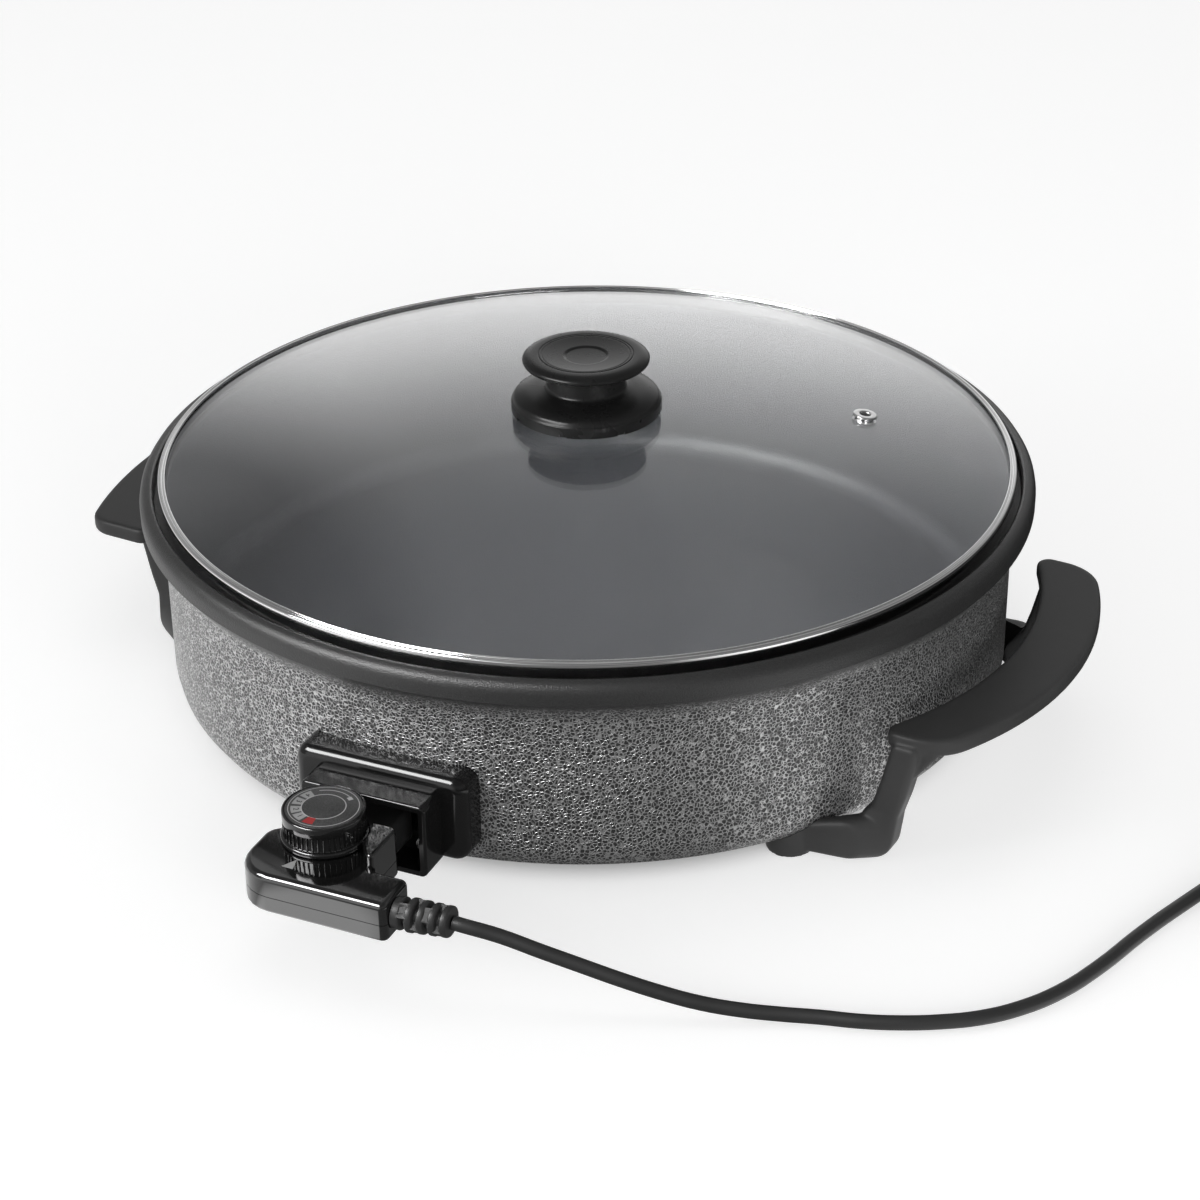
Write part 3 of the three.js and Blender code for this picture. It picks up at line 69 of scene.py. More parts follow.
lens = bpy.data.cameras.new("camera")
lens.sensor_width = 36
lens.lens = 85.4
camera = bpy.data.objects.new("camera", lens)
scene.collection.objects.link(camera)
camera.location = camera_place
camera.rotation_mode = "QUATERNION"
looking = (camera_aim - camera_place).to_track_quat("-Z", "Y")
camera.rotation_quaternion = looking @ Quaternion((0, 0, 1), camera_roll)
scene.camera = camera


# Mains cord
# Black rubber-sheathed three-core lead, 6.4 mm thick. It droops from the strain relief to the
# floor, runs round to the right and ends in a tied coil of a little over four turns.
cord_diameter = 0.0064
cord_joint = 0.0003
lead_points = [
    (0.0606, -0.2360, 0.0347),
    (0.0646, -0.2356, 0.0342),
    (0.0794, -0.2316, 0.0304),
    (0.0958, -0.2284, 0.0255),
    (0.1120, -0.2249, 0.0206),
    (0.1283, -0.2217, 0.0160),
    (0.1443, -0.2179, 0.0116),
    (0.1601, -0.2137, 0.0080),
    (0.1755, -0.2087, 0.0056),
    (0.1908, -0.2030, 0.0040),
    (0.2061, -0.1980, 0.0035),
    (0.2219, -0.1941, 0.0034),
    (0.2371, -0.1888, 0.0034),
    (0.2517, -0.1819, 0.0034),
    (0.2658, -0.1730, 0.0034),
    (0.2788, -0.1606, 0.0034),
    (0.2907, -0.1436, 0.0034),
    (0.3012, -0.1201, 0.0034),
    (0.3108, -0.0918, 0.0034),
    (0.3206, -0.0665, 0.0034),
]
coil_centre = Vector((0.384, -0.038, 0.0044))
coil_start = math.radians(90 + 62.6)
coil_outer = 0.0426
coil_pitch = 0.0073
coil_turns = 4.25
coil_rise = 0.0072
coil_steps = 24
tail_length = 0.056
plug_axis_height = 0.0154


def eased(share):
    share = min(max(share, 0), 1)
    return share * share * (3 - 2 * share)


def coil_point(turns):
    """A point of the coil, which winds inwards on the floor and out again one layer up."""
    back = coil_turns / 2
    radius = coil_outer - coil_pitch * (back - abs(turns - back))
    angle = coil_start - turns * math.tau
    climb = coil_rise * eased((turns - back + 0.25) / 0.5)
    return coil_centre + Vector((radius * math.cos(angle), radius * math.sin(angle), climb))


turn_count = round(coil_turns * coil_steps)
wound = [coil_point(i * coil_turns / turn_count) for i in range(turn_count + 1)]
coil_in = (wound[0] - wound[1]).normalized()
coil_out = Vector(((wound[-1] - wound[-2]).x, (wound[-1] - wound[-2]).y, 0)).normalized()
coil_mouth = wound[0] + coil_in * (2 * cord_diameter + cord_joint)
wound = [wound[0] + coil_in * cord_diameter, *wound, wound[-1] + coil_out * cord_diameter]
tail_start = wound[-1] + coil_out * cord_joint
plug_start = tail_start + coil_out * tail_length
plug_start.z = plug_axis_height
tail_end = plug_start - coil_out * cord_joint
cord_route = [Vector(p) for p in lead_points]
cord_route += [coil_mouth, *wound, tail_start + coil_out * cord_diameter]
cord_route += [tail_end - coil_out * cord_diameter, tail_end]


def drawn_tube(name, route, radius, steps):
    """A round tube along one smooth curve through the points of its route."""
    line = bpy.data.curves.new(name, "CURVE")
    line.dimensions = "3D"
    line.resolution_u = steps
    line.bevel_depth = 1
    line.bevel_resolution = 3
    line.use_fill_caps = True
    spline = line.splines.new("BEZIER")
    spline.bezier_points.add(len(route) - 1)
    for knot, place in zip(spline.bezier_points, route):
        knot.co = knot.handle_left = knot.handle_right = place
        knot.handle_left_type = knot.handle_right_type = "AUTO"
        knot.radius = radius
    tube = bpy.data.objects.new(name, line)
    scene.collection.objects.link(tube)
    return tube


mains_cord = drawn_tube("mains_cord", cord_route, cord_diameter / 2, 4)
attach(mains_cord, "controller")
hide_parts("cord_lead", "cord_coil", "cord_tail")


class Wire:
    """A value in a material, with the arithmetic that the finishes are written in."""

    def __init__(self, paint, socket):
        self.paint = paint
        self.socket = socket

    def worked(self, operation, *values):
        return self.paint.node("ShaderNodeMath", {"operation": operation}, dict(enumerate(values)))

    def __add__(self, other):
        return self.worked("ADD", self, other)

    def __sub__(self, other):
        return self.worked("SUBTRACT", self, other)

    def __rsub__(self, other):
        return self.worked("SUBTRACT", other, self)

    def __mul__(self, other):
        return self.worked("MULTIPLY", self, other)

    def __truediv__(self, other):
        return self.worked("DIVIDE", self, other)

    def __pow__(self, other):
        return self.worked("POWER", self, other)

    def larger(self, other):
        return self.worked("MAXIMUM", self, other)

    __radd__ = __add__
    __rmul__ = __mul__


class Paint:
    """A material or the world: constants sit on its shader, and the nodes of its pattern feed it."""

    def __init__(self, name, constants=None, kind=bpy.data.materials, shader="Principled BSDF"):
        self.material = kind.new(name)
        self.material.use_nodes = True
        self.tree = self.material.node_tree
        self.shader = self.tree.nodes[shader]
        for socket, value in (constants or {}).items():
            self.shader.inputs[socket].default_value = value

    def feed(self, socket, value):
        if isinstance(value, Wire):
            self.tree.links.new(value.socket, socket)
        else:
            socket.default_value = value

    def node(self, kind, settings=None, values=None, output=0):
        made = self.tree.nodes.new(kind)
        for name, setting in (settings or {}).items():
            if name == "stops":
                while len(made.color_ramp.elements) < len(setting):
                    made.color_ramp.elements.new(1)
                for stop, (at, colour) in zip(made.color_ramp.elements, setting):
                    stop.position = at
                    stop.color = colour
            else:
                setattr(made, name, setting)
        for name, value in (values or {}).items():
            self.feed(made.inputs[name], value)
        return Wire(self, made.outputs[output])

    def drive(self, **patterns):
        for name, wire in patterns.items():
            self.feed(self.shader.inputs[name.replace("_", " ")], wire)

    def place(self, centre=(0, 0, 0), stretch=(1, 1, 1)):
        spot = self.node("ShaderNodeTexCoord", output="Object")
        shift = {"Location": tuple(-c * s for c, s in zip(centre, stretch)), "Scale": stretch}
        return self.node("ShaderNodeMapping", None, {"Vector": spot, **shift})

    def noise(self, vector, scale, detail=2.0, roughness=0.5):
        values = {"Vector": vector, "Scale": scale, "Detail": detail, "Roughness": roughness}
        return self.node("ShaderNodeTexNoise", None, values)

    def between(self, value, low, high, first=0.0, last=1.0):
        """Goes smoothly from first to last while value goes from low to high."""
        values = {"Value": value, "From Min": low, "From Max": high, "To Min": first, "To Max": last}
        return self.node("ShaderNodeMapRange", {"interpolation_type": "SMOOTHSTEP"}, values)

    def blend(self, share, first, second):
        values = {0: share, 6: first, 7: second}
        return self.node("ShaderNodeMix", {"data_type": "RGBA"}, values, 2)

    def raised(self, height, strength, distance):
        values = {"Height": height, "Strength": strength, "Distance": distance}
        return self.node("ShaderNodeBump", None, values)

    def parts(self, vector):
        """The three coordinates of a vector."""
        return [self.node("ShaderNodeSeparateXYZ", None, {0: vector}, i) for i in range(3)]


def grey(level, warm=0.0):
    return (level * (1 + warm), level, level * (1 - warm), 1)


def moulded(name, level, roughness, grain, strength, constants=None):
    """A plastic or rubber with a fine grain and faint handling marks."""
    paint = Paint(name, constants)
    spot = paint.place()
    fine = paint.noise(spot, grain, 3)
    marks = paint.noise(spot, 45, 4, 0.6)
    paint.drive(
        Base_Color=paint.blend(marks, grey(level * 0.85), grey(level * 1.2)),
        Roughness=roughness + (marks - 0.5) * 0.1,
        Normal=paint.raised(fine, strength, 0.0002),
    )
    return paint


cord_sheath = moulded("cord_sheath", 0.02, 0.42, 1800, 0.25)
mains_cord.data.materials.append(cord_sheath.material)


# Floor and light
# A pale floor with a painted shadow under the pan and painted reflections that only shine shows:
# darker and lighter by bearing round the pan, and a bright patch before the controller. A bright
# surround with darker parts that only shine shows, and soft lamps: one overhead, two low ones in
# front, and a strip that only the polished edges show.
pan_y = 0.0369


def linked(name, form):
    mesh = bpy.data.meshes.new(name)
    form.to_mesh(mesh)
    form.free()
    piece = bpy.data.objects.new(name, mesh)
    scene.collection.objects.link(piece)
    return piece


floor_form = bmesh.new()
bmesh.ops.create_grid(floor_form, x_segments=1, y_segments=1, size=6)
floor = linked("floor", floor_form)
floor_paint = Paint(
    "floor_paint", {"Roughness": 0.9, "Specular IOR Level": 0.1, "Emission Strength": 1.0}
)
# Painted reflections: only glossy rays see the floor's colour and glow change with the bearing round
# the pan and rise to a bright patch before the controller, so the wall and the controller's front
# reflect darker and lighter parts.
across, along, _ = floor_paint.parts(floor_paint.place((0, pan_y, 0)))
bearing = floor_paint.node("ShaderNodeMath", {"operation": "ARCTAN2"}, {0: along, 1: across})
turn_shares = (0, 0.083, 0.19, 0.245, 0.29, 0.36, 0.41, 0.445, 0.478, 0.78, 0.9, 1)
shine = (0.6, 0.78, 0.82, 0.14, 0.12, 0.14, 1, 0.9, 0.02, 0.01, 0.5, 0.6)
reflection_by_bearing = floor_paint.node(
    "ShaderNodeValToRGB",
    {"stops": [(share, grey(level)) for share, level in zip(turn_shares, shine)]},
    {0: bearing * (0.5 / math.pi) + 0.5},
)
before_controller = ((across + 0.022) ** 2 + (along + 0.31) ** 2) ** 0.5
painted_reflection = reflection_by_bearing.larger(floor_paint.between(before_controller, 0.055, 0.03, 0, 1.45))
gloss_ray = floor_paint.node("ShaderNodeLightPath", output="Is Glossy Ray")
seen_ray = floor_paint.node("ShaderNodeLightPath", output="Is Camera Ray").larger(
    floor_paint.node("ShaderNodeLightPath", output="Is Transmission Ray")
)
# Painted shadow: the floor's glow for camera and transmission rays fades out under the pan, so the
# floor there shows dark.
outside_painted_shadow = floor_paint.between((across * across + along * along) ** 0.5, 0.17, 0.2)
floor_paint.drive(
    Base_Color=floor_paint.blend(gloss_ray, grey(0.62), painted_reflection * 0.62),
    Emission_Color=seen_ray * outside_painted_shadow * 0.59 + gloss_ray * painted_reflection * 0.9,
)
floor.data.materials.append(floor_paint.material)

sky = Paint("surround", {"Strength": 1.0}, bpy.data.worlds, "Background")
scene.world = sky.material
heading = sky.node("ShaderNodeTexCoord", output="Generated")
east, north, above = sky.parts(heading)
sideways = east / ((east * east + north * north) ** 0.5).larger(0.001)
low_sky = sky.between(above, 0.15, 0.68, 1.4, 0.4)
behind = sky.between(sideways, -0.7, -0.55, 0.3, 1.0) * sky.between(sideways, -0.3, 0.4, 1.0, 0.04)
behind = behind.larger(sky.between(above, 0.15, 0.5, 0.05, 0.45))
sky_ray = sky.node("ShaderNodeLightPath", output="Is Camera Ray")
glossy_ray = sky.node("ShaderNodeLightPath", output="Is Glossy Ray")
soft_sky = sky.between(above, 0.0, 0.85, 1.25, 0.2)
level = soft_sky + (low_sky * behind - soft_sky) * glossy_ray
sky.drive(Color=level + (1 - level) * sky_ray)


def softbox(name, place, aim, wide, high, watts):
    light = bpy.data.lights.new(name, "AREA")
    light.shape = "RECTANGLE"
    light.size = wide
    light.size_y = high
    light.energy = watts
    lamp = bpy.data.objects.new(name, light)
    lamp.location = place
    lamp.rotation_mode = "QUATERNION"
    lamp.rotation_quaternion = (Vector(aim) - Vector(place)).to_track_quat("-Z", "Y")
    scene.collection.objects.link(lamp)
    return lamp


overhead = softbox("overhead", (-0.2, 0.5, 1.9), (0, 0, 0), 1.5, 0.9, 4)
overhead.visible_glossy = overhead.visible_transmission = False
for side, reach, watts in ((-1, 1.45, 13), (1, 1.25, 14)):
    low_lamp = softbox("low", (side * reach, -1.25, 0.45), (0, 0, 0.05), 0.8, 0.8, watts)
    low_lamp.visible_glossy = False
strip = softbox("strip", (-0.66, -0.98, 1.0), (0, -0.2, 0.05), 1.0, 0.5, 36)
strip.visible_diffuse = False


# Pan
# One aluminium casting, lacquered outside in a hammered dark grey that gives way to plain
# satin black on the rolled rim, and coated dark slate inside. Its floor has a stand ring and a
# grooved rib underneath for the heating element.
rim_radius = 0.213
rim_z = 0.107
wall_radius = 0.203
wall_inner = 0.1998
shoulder_z = 0.103
lip_top = 0.110
lip_inner = 0.2064
pan_bottom = 0.007
floor_under = 0.014
floor_top = 0.019
stand_ring = 0.174
element_radius = 0.125
groove_half = 0.0038
rib_wall = 0.0032
rib_bottom = 0.008
groove_top = 0.0158


def moved(form, shift):
    bmesh.ops.translate(form, verts=form.verts, vec=shift)
    return form


def turned(form, degrees, axis="Z"):
    turn = Matrix.Rotation(math.radians(degrees), 3, axis)
    bmesh.ops.rotate(form, cent=(0, 0, 0), matrix=turn, verts=form.verts)
    return form


def tidied(form):
    bmesh.ops.remove_doubles(form, verts=form.verts, dist=1e-6)
    bmesh.ops.recalc_face_normals(form, faces=form.faces)
    return form


def round_off(form, corners, size, segments=4):
    bmesh.ops.bevel(
        form,
        geom=corners,
        offset=size,
        offset_type="OFFSET",
        segments=segments,
        profile=0.5,
        affect="VERTICES",
        material=-1,
    )


def lathe(points, steps, centre=(0, pan_y, 0)):
    """A form turned about an upright axis from (radius, height) points with an optional corner
    rounding each. It closes on itself unless both ends lie on the axis."""
    form = bmesh.new()
    corners = [form.verts.new((point[0], 0, point[1])) for point in points]
    for first, second in zip(corners, corners[1:]):
        form.edges.new((first, second))
    if points[0][0] > 0 or points[-1][0] > 0:
        form.edges.new((corners[-1], corners[0]))
    for corner, point in zip(corners, points):
        if len(point) > 2:
            round_off(form, [corner], point[2])
    bmesh.ops.spin(
        form,
        geom=form.verts[:] + form.edges[:],
        cent=(0, 0, 0),
        axis=(0, 0, 1),
        angle=math.tau,
        steps=steps,
        use_merge=True,
    )
    return tidied(moved(form, centre))


def settled(piece, *helpers):
    """The form of a piece once its modifiers have worked. The piece and its helpers go."""
    bpy.context.view_layer.update()
    form = bmesh.new()
    form.from_mesh(piece.evaluated_get(bpy.context.evaluated_depsgraph_get()).to_mesh())
    for spent in (piece, *helpers):
        bpy.data.batch_remove([spent, spent.data])
    return tidied(form)


def carved(form, tools, operation="DIFFERENCE"):
    """The form with each tool taken away from it, or joined to it."""
    target = linked("target", form)
    cutters = [linked("tool", tool) for tool in tools]
    for cutter in cutters:
        step = target.modifiers.new("carve", "BOOLEAN")
        step.operation = operation
        step.solver = "EXACT"
        step.object = cutter
    return settled(target, *cutters)


def block(low, high):
    form = bmesh.new()
    bmesh.ops.create_cube(form, size=1)
    bmesh.ops.scale(form, verts=form.verts, vec=Vector(high) - Vector(low))
    return moved(form, (Vector(high) + Vector(low)) / 2)


def finish(name, form, paint, body, stands_for, sharp=35, flat_faces=False):
    """Makes the finished piece: shaded smooth but for its sharp edges, painted, and riding. On
    a piece with flat faces their own direction rules the shading of the edges beside them."""
    piece = linked(name, form)
    piece.data.polygons.foreach_set("use_smooth", [True] * len(piece.data.polygons))
    piece.data.set_sharp_from_angle(angle=math.radians(sharp))
    if flat_faces:
        even = piece.modifiers.new("even", "WEIGHTED_NORMAL")
        even.keep_sharp = True
    piece.data.materials.append(paint.material)
    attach(piece, body)
    if stands_for:
        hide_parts(*stands_for)


pan_profile = [
    (0, floor_under),
    (element_radius - groove_half - rib_wall, floor_under),
    (element_radius - groove_half - rib_wall, rib_bottom, 0.0008),
    (element_radius - groove_half, rib_bottom, 0.0008),
    (element_radius - groove_half, groove_top, 0.002),
    (element_radius + groove_half, groove_top, 0.002),
    (element_radius + groove_half, rib_bottom, 0.0008),
    (element_radius + groove_half + rib_wall, rib_bottom, 0.0008),
    (element_radius + groove_half + rib_wall, floor_under),
    (stand_ring, floor_under),
    (stand_ring, pan_bottom, 0.001),
    (wall_radius, pan_bottom, 0.0148),
    (wall_radius, 0.0800, 0.010),
    (wall_radius + 0.0024, 0.0890, 0.006),
    (wall_radius + 0.0070, 0.0962, 0.005),
    (rim_radius, 0.0996, 0.0022),
    (rim_radius, lip_top, 0.0052),
    (lip_inner, lip_top, 0.0011),
    (lip_inner, shoulder_z, 0.0008),
    (wall_inner, shoulder_z, 0.0008),
    (wall_inner, floor_top, 0.0118),
    (0, floor_top),
]
socket_x = -0.004
lead_offset = 0.012
lead_half = 0.0043
pan_ways = [
    block(
        (socket_x + side * lead_offset - lead_half, pan_y - 0.2048, pan_bottom - 0.002),
        (socket_x + side * lead_offset + lead_half, pan_y - 0.120, groove_top),
    )
    for side in (-1, 1)
]
pan_ways.append(
    block((socket_x - 0.028, pan_y - 0.134, 0.005), (socket_x + 0.028, pan_y - 0.118, floor_under))
)
pan_form = carved(lathe(pan_profile, 192), pan_ways)

lacquer = Paint("hammered_lacquer", {"IOR": 1.5})
spot = lacquer.place((0, pan_y, 0))
across, along, up = lacquer.parts(spot)
radius = (across * across + along * along) ** 0.5
outside = lacquer.between(radius, 0.2012, 0.2018).larger(lacquer.between(up, 0.0165, 0.0155))
hammered = outside * lacquer.between(up, 0.0995, 0.088)
drift = lacquer.node("ShaderNodeTexNoise", None, {"Vector": spot, "Scale": 300, "Detail": 2}, "Color")
drifted = lacquer.node(
    "ShaderNodeVectorMath",
    {"operation": "MULTIPLY_ADD"},
    {0: drift, 1: (0.0012, 0.0012, 0.0012), 2: spot},
)
cells = lacquer.node(
    "ShaderNodeTexVoronoi", {"feature": "DISTANCE_TO_EDGE"}, {"Vector": drifted, "Scale": 580}
)
patchy = lacquer.between(lacquer.noise(spot, 420, 2), 0.35, 0.55)
vein = lacquer.between(cells, 0.15, 0.04) * (0.3 + patchy * 0.7) * hammered
speckle = lacquer.noise(spot, 1500, 2)
outer_colour = lacquer.blend(vein, lacquer.blend(speckle, grey(0.01), grey(0.034)), grey(0.62))
inner_colour = lacquer.blend(speckle, (0.077, 0.080, 0.087, 1), (0.099, 0.102, 0.111, 1))
lip_edge = lacquer.between(radius, 0.2082, 0.2072) * lacquer.between(up, 0.1075, 0.1085)
lacquer.drive(
    Base_Color=lacquer.blend(outside, inner_colour, outer_colour),
    Roughness=lacquer.between(hammered, 0, 1, 0.4, 0.3) - lip_edge * 0.28,
    Metallic=vein * 0.96,
    Normal=lacquer.raised(speckle * (0.8 - hammered * 0.6) - vein * 1.2, 0.6, 0.0005),
)
finish("pan_casting", pan_form, lacquer, "base", ["pan"])


# Heating element
# A steel-sheathed tube pressed into the groove under the floor. Its two cold ends bend out
# under the wall and rise into the socket housing.
element_z = 0.0123
sheath_radius = 0.0032
bend_radius = 0.016
rise_radius = 0.009


def arc_points(cx, cy, radius, start, end, steps):
    return [
        (
            cx + radius * math.cos(math.radians(start + (end - start) * i / steps)),
            cy + radius * math.sin(math.radians(start + (end - start) * i / steps)),
        )
        for i in range(steps + 1)
    ]


def cold_end(side):
    """Points from the ring's circle through a bend and out, then up, and where it joins."""
    x = socket_x + side * lead_offset
    cx = x + side * bend_radius
    cy = -math.sqrt((element_radius + bend_radius) ** 2 - cx * cx)
    join = math.degrees(math.atan2(cy, cx))
    flat = arc_points(cx, cy, bend_radius, join + 180, 0 if side < 0 else 180, 5)
    path = [(px, py + pan_y, element_z) for px, py in flat]
    rise = arc_points(-0.1989, element_z + rise_radius, rise_radius, 270, 180, 4)
    path += [(x, py + pan_y, pz) for py, pz in rise]
    path.append((x, pan_y - 0.1989 - rise_radius, 0.0279))
    return path, join


left_path, left_join = cold_end(-1)
right_path, right_join = cold_end(1)
ring = arc_points(0, 0, element_radius, right_join, left_join + 360, 48)[1:-1]
element_path = right_path[::-1] + [(x, y + pan_y, element_z) for x, y in ring] + left_path


def metal(name, level, roughness, warm=0.0, scale=900):
    """Bare metal with fine wear in its shine."""
    paint = Paint(name, {"Metallic": 1.0})
    spot = paint.place()
    wear = paint.noise(spot, scale, 4, 0.6)
    paint.drive(
        Base_Color=paint.blend(wear, grey(level * 0.9, warm), grey(level * 1.05, warm)),
        Roughness=roughness + (wear - 0.5) * 0.12,
        Normal=paint.raised(wear, 0.05, 0.0001),
    )
    return paint


element_sheath = metal("element_sheath", 0.42, 0.42, 0.03)
element_tube = drawn_tube("element_tube", element_path, sheath_radius, 3)
element_tube.data.materials.append(element_sheath.material)
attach(element_tube, "base")
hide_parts("heating_element")


# Socket housing
# A glossy black moulding screwed to the wall: a flange with softened edges, shaped to the pan
# behind, and an open hood in front that the controller plugs into.
flange = (-0.0455, 0.0375, 0.019, 0.061)
flange_front = pan_y - 0.214
hood = (-0.03375, 0.02575, 0.019, 0.0545)
hood_front = pan_y - 0.229
hood_wall = 0.003
socket_z = 0.03675
pin_offset = 0.011


def soften(form, edges, size, segments=3):
    bmesh.ops.bevel(
        form,
        geom=edges,
        offset=size,
        offset_type="OFFSET",
        segments=segments,
        profile=0.5,
        affect="EDGES",
        clamp_overlap=True,
        material=-1,
    )


def level_edges(form, height=None):
    """The edges that lie level, or only those at one height."""
    level = [e for e in form.edges if abs(e.verts[0].co.z - e.verts[1].co.z) < 1e-6]
    return [e for e in level if height is None or abs(e.verts[0].co.z - height) < 1e-6]


def pulled_up(form, height):
    """A flat outline made a solid of that height."""
    grown = bmesh.ops.extrude_face_region(form, geom=form.faces[:])["geom"]
    raised = [item for item in grown if isinstance(item, bmesh.types.BMVert)]
    bmesh.ops.translate(form, verts=raised, vec=(0, 0, height))
    return form


def upright(corners, low, high, edge=0.0, segments=3):
    """A straight-sided form between two heights from (x, y) corners with an optional rounding
    each, its upper and lower edges softened."""
    form = bmesh.new()
    outline = [form.verts.new((corner[0], corner[1], low)) for corner in corners]
    form.faces.new(outline)
    for vert, corner in zip(outline, corners):
        if len(corner) > 2:
            round_off(form, [vert], corner[2], 6)
    pulled_up(form, high - low)
    if edge:
        soften(form, level_edges(form), edge, segments)
    return tidied(form)


def box_corners(x0, x1, y0, y1, corner):
    return [(x0, y0, corner), (x1, y0, corner), (x1, y1, corner), (x0, y1, corner)]


def laid_back(form, y_front):
    """Stands a form that was made upright with its outline towards -Y, its top at y_front."""
    turned(form, 90, "X")
    return moved(form, (0, y_front - min(vert.co.y for vert in form.verts), 0))


def rod(radius, low, high, steps=32):
    """A round bar on the Z axis."""
    form = bmesh.new()
    bmesh.ops.create_cone(
        form, cap_ends=True, segments=steps, radius1=radius, radius2=radius, depth=high - low
    )
    return moved(form, (0, 0, (low + high) / 2))


def socket_rod(radius, offset, y0, y1):
    """A round bar along Y on the socket's line, or beside it."""
    half = (y1 - y0) / 2
    return moved(turned(rod(radius, -half, half), 90, "X"), (socket_x + offset, y0 + half, socket_z))


flange_form = laid_back(upright(box_corners(*flange, 0.0075), 0, 0.032, 0.0055, 8), flange_front)
hood_form = laid_back(upright(box_corners(*hood, 0.003), 0, 0.017, 0.0012), hood_front)
wall_reach = wall_radius - 0.0008
wall_tool = lathe([(0, 0.004), (wall_reach, 0.004), (wall_reach, 0.09), (0, 0.09)], 192)
hollow = (hood[0] + hood_wall, hood[1] - hood_wall, hood[2] + hood_wall, hood[3] - hood_wall)
hood_hollow = laid_back(upright(box_corners(*hollow, 0.001), 0, 0.0152), hood_front - 0.0002)
housing_form = carved(carved(flange_form, [hood_form], "UNION"), [wall_tool, hood_hollow])
socket_holes = [socket_rod(0.0069, 0, flange_front - 0.005, pan_y - 0.203)]
for side in (-1, 1):
    socket_holes.append(
        socket_rod(0.00285, side * pin_offset, flange_front - 0.005, pan_y - 0.206)
    )
housing_form = carved(housing_form, socket_holes)


def polished(name, level, roughness, coat=0.7, ior=1.6):
    """A dark plastic with a mirror-like skin that is faintly uneven."""
    paint = Paint(name, {"IOR": ior, "Coat Weight": coat, "Coat IOR": 1.6, "Coat Roughness": roughness})
    spot = paint.place()
    unevenness = paint.noise(spot, 60, 3)
    paint.drive(
        Base_Color=paint.blend(unevenness, grey(level * 0.8), grey(level * 1.2)),
        Roughness=roughness + unevenness * 0.04,
        Normal=paint.raised(unevenness, 0.05, 0.0004),
    )
    return paint


def refinish(paint, *names):
    """Gives solids that show as they are their finish."""
    for name in names:
        nodes[name].data.materials.clear()
        nodes[name].data.materials.append(paint.material)


satin_black = polished("satin_black_moulding", 0.006, 0.12, 0.0, 1.45)
finish(
    "housing_moulding", housing_form, satin_black, "base", ["socket_housing"], 40, True
)

bright_steel = metal("bright_steel", 0.62, 0.25)
pale_ceramic = moulded("pale_ceramic", 0.62, 0.55, 900, 0.1)
refinish(bright_steel, "terminal_pin_left", "terminal_pin_right", "probe_cup")
refinish(bright_steel, "housing_screw_1", "housing_screw_2")
refinish(pale_ceramic, "terminal_block")


# Handles
# Two mouldings in matt dark grey plastic, each a crescent grip on two legs. A leg turns under
# the pan at its elbow and ends in a round foot, held by a screw from below.
handle_z = 0.0647
grip_thickness = 0.008
grip_reach = 0.251
grip_inside = 0.221
grip_hollow = 0.171
grip_half = 0.092
grip_corner = 0.006
leg_half = 0.0065, 0.0068
leg_corner = 0.0028
foot_place = (0.160, 0.1022)
foot_radius = 0.0108
foot_screw_place = (0.158, 0.101)


def walked(form, start, moves):
    """Draws an outline from a starting vertex with straight and curved moves."""
    at = start
    for move in moves:
        if len(move) == 2:
            after = form.verts.new((move[0], move[1], start.co.z))
            form.edges.new((at, after))
            at = after
        else:
            cx, cy, degrees, steps = move
            swept = bmesh.ops.spin(
                form,
                geom=[at],
                cent=(cx, cy, start.co.z),
                axis=(0, 0, 1),
                angle=math.radians(degrees),
                steps=steps,
            )
            at = swept["geom_last"][0]
    return at


def grip(bow, corner):
    """The crescent, drawn round its upper half and mirrored."""
    outer_x = grip_reach - bow
    inner_x = grip_inside - grip_hollow
    outer_run = bow - corner
    inner_run = grip_hollow + grip_corner
    outer_turn = math.degrees(math.asin((grip_half - corner) / outer_run))
    inner_turn = math.degrees(math.asin((grip_half - grip_corner) / inner_run))
    corner_x = outer_x + math.sqrt(outer_run ** 2 - (grip_half - corner) ** 2)
    inner_corner_x = inner_x + math.sqrt(inner_run ** 2 - (grip_half - grip_corner) ** 2)
    form = bmesh.new()
    start = form.verts.new((grip_reach, 0, 0))
    moves = [
        (outer_x, 0, outer_turn, 24),
        (corner_x, grip_half - corner, 90 - outer_turn, 12),
        (inner_corner_x, grip_half),
        (inner_corner_x, grip_half - grip_corner, 90 + inner_turn, 10),
        (inner_x, 0, -inner_turn, 24),
    ]
    walked(form, start, moves)
    bmesh.ops.mirror(form, geom=form.verts[:] + form.edges[:], axis="Y", merge_dist=1e-6)
    bmesh.ops.remove_doubles(form, verts=form.verts, dist=1e-6)
    bmesh.ops.contextual_create(form, geom=form.edges[:])
    pulled_up(form, grip_thickness)
    soften(form, level_edges(form), 0.0018, 4)
    return tidied(moved(form, (0, 0, handle_z - grip_thickness)))


def cushion(middle, half, corner):
    """A box with its edges rounded."""
    form = block([m - h for m, h in zip(middle, half)], [m + h for m, h in zip(middle, half)])
    soften(form, form.edges[:], corner, 4)
    return form


def drawn_round(first, second):
    """The tightest form round two others."""
    form = bmesh.new()
    for vert in first.verts[:] + second.verts[:]:
        form.verts.new(vert.co)
    inner = bmesh.ops.convex_hull(form, input=form.verts[:])["geom_interior"]
    bmesh.ops.delete(form, geom=inner, context="VERTS")
    return tidied(form)


def limb(stations):
    """A bar that runs from one cushion to the next, drawn tight round each pair."""
    ends = [cushion(*station) for station in stations]
    spans = [drawn_round(first, second) for first, second in zip(ends, ends[1:])]
    for end in ends:
        end.free()
    return spans


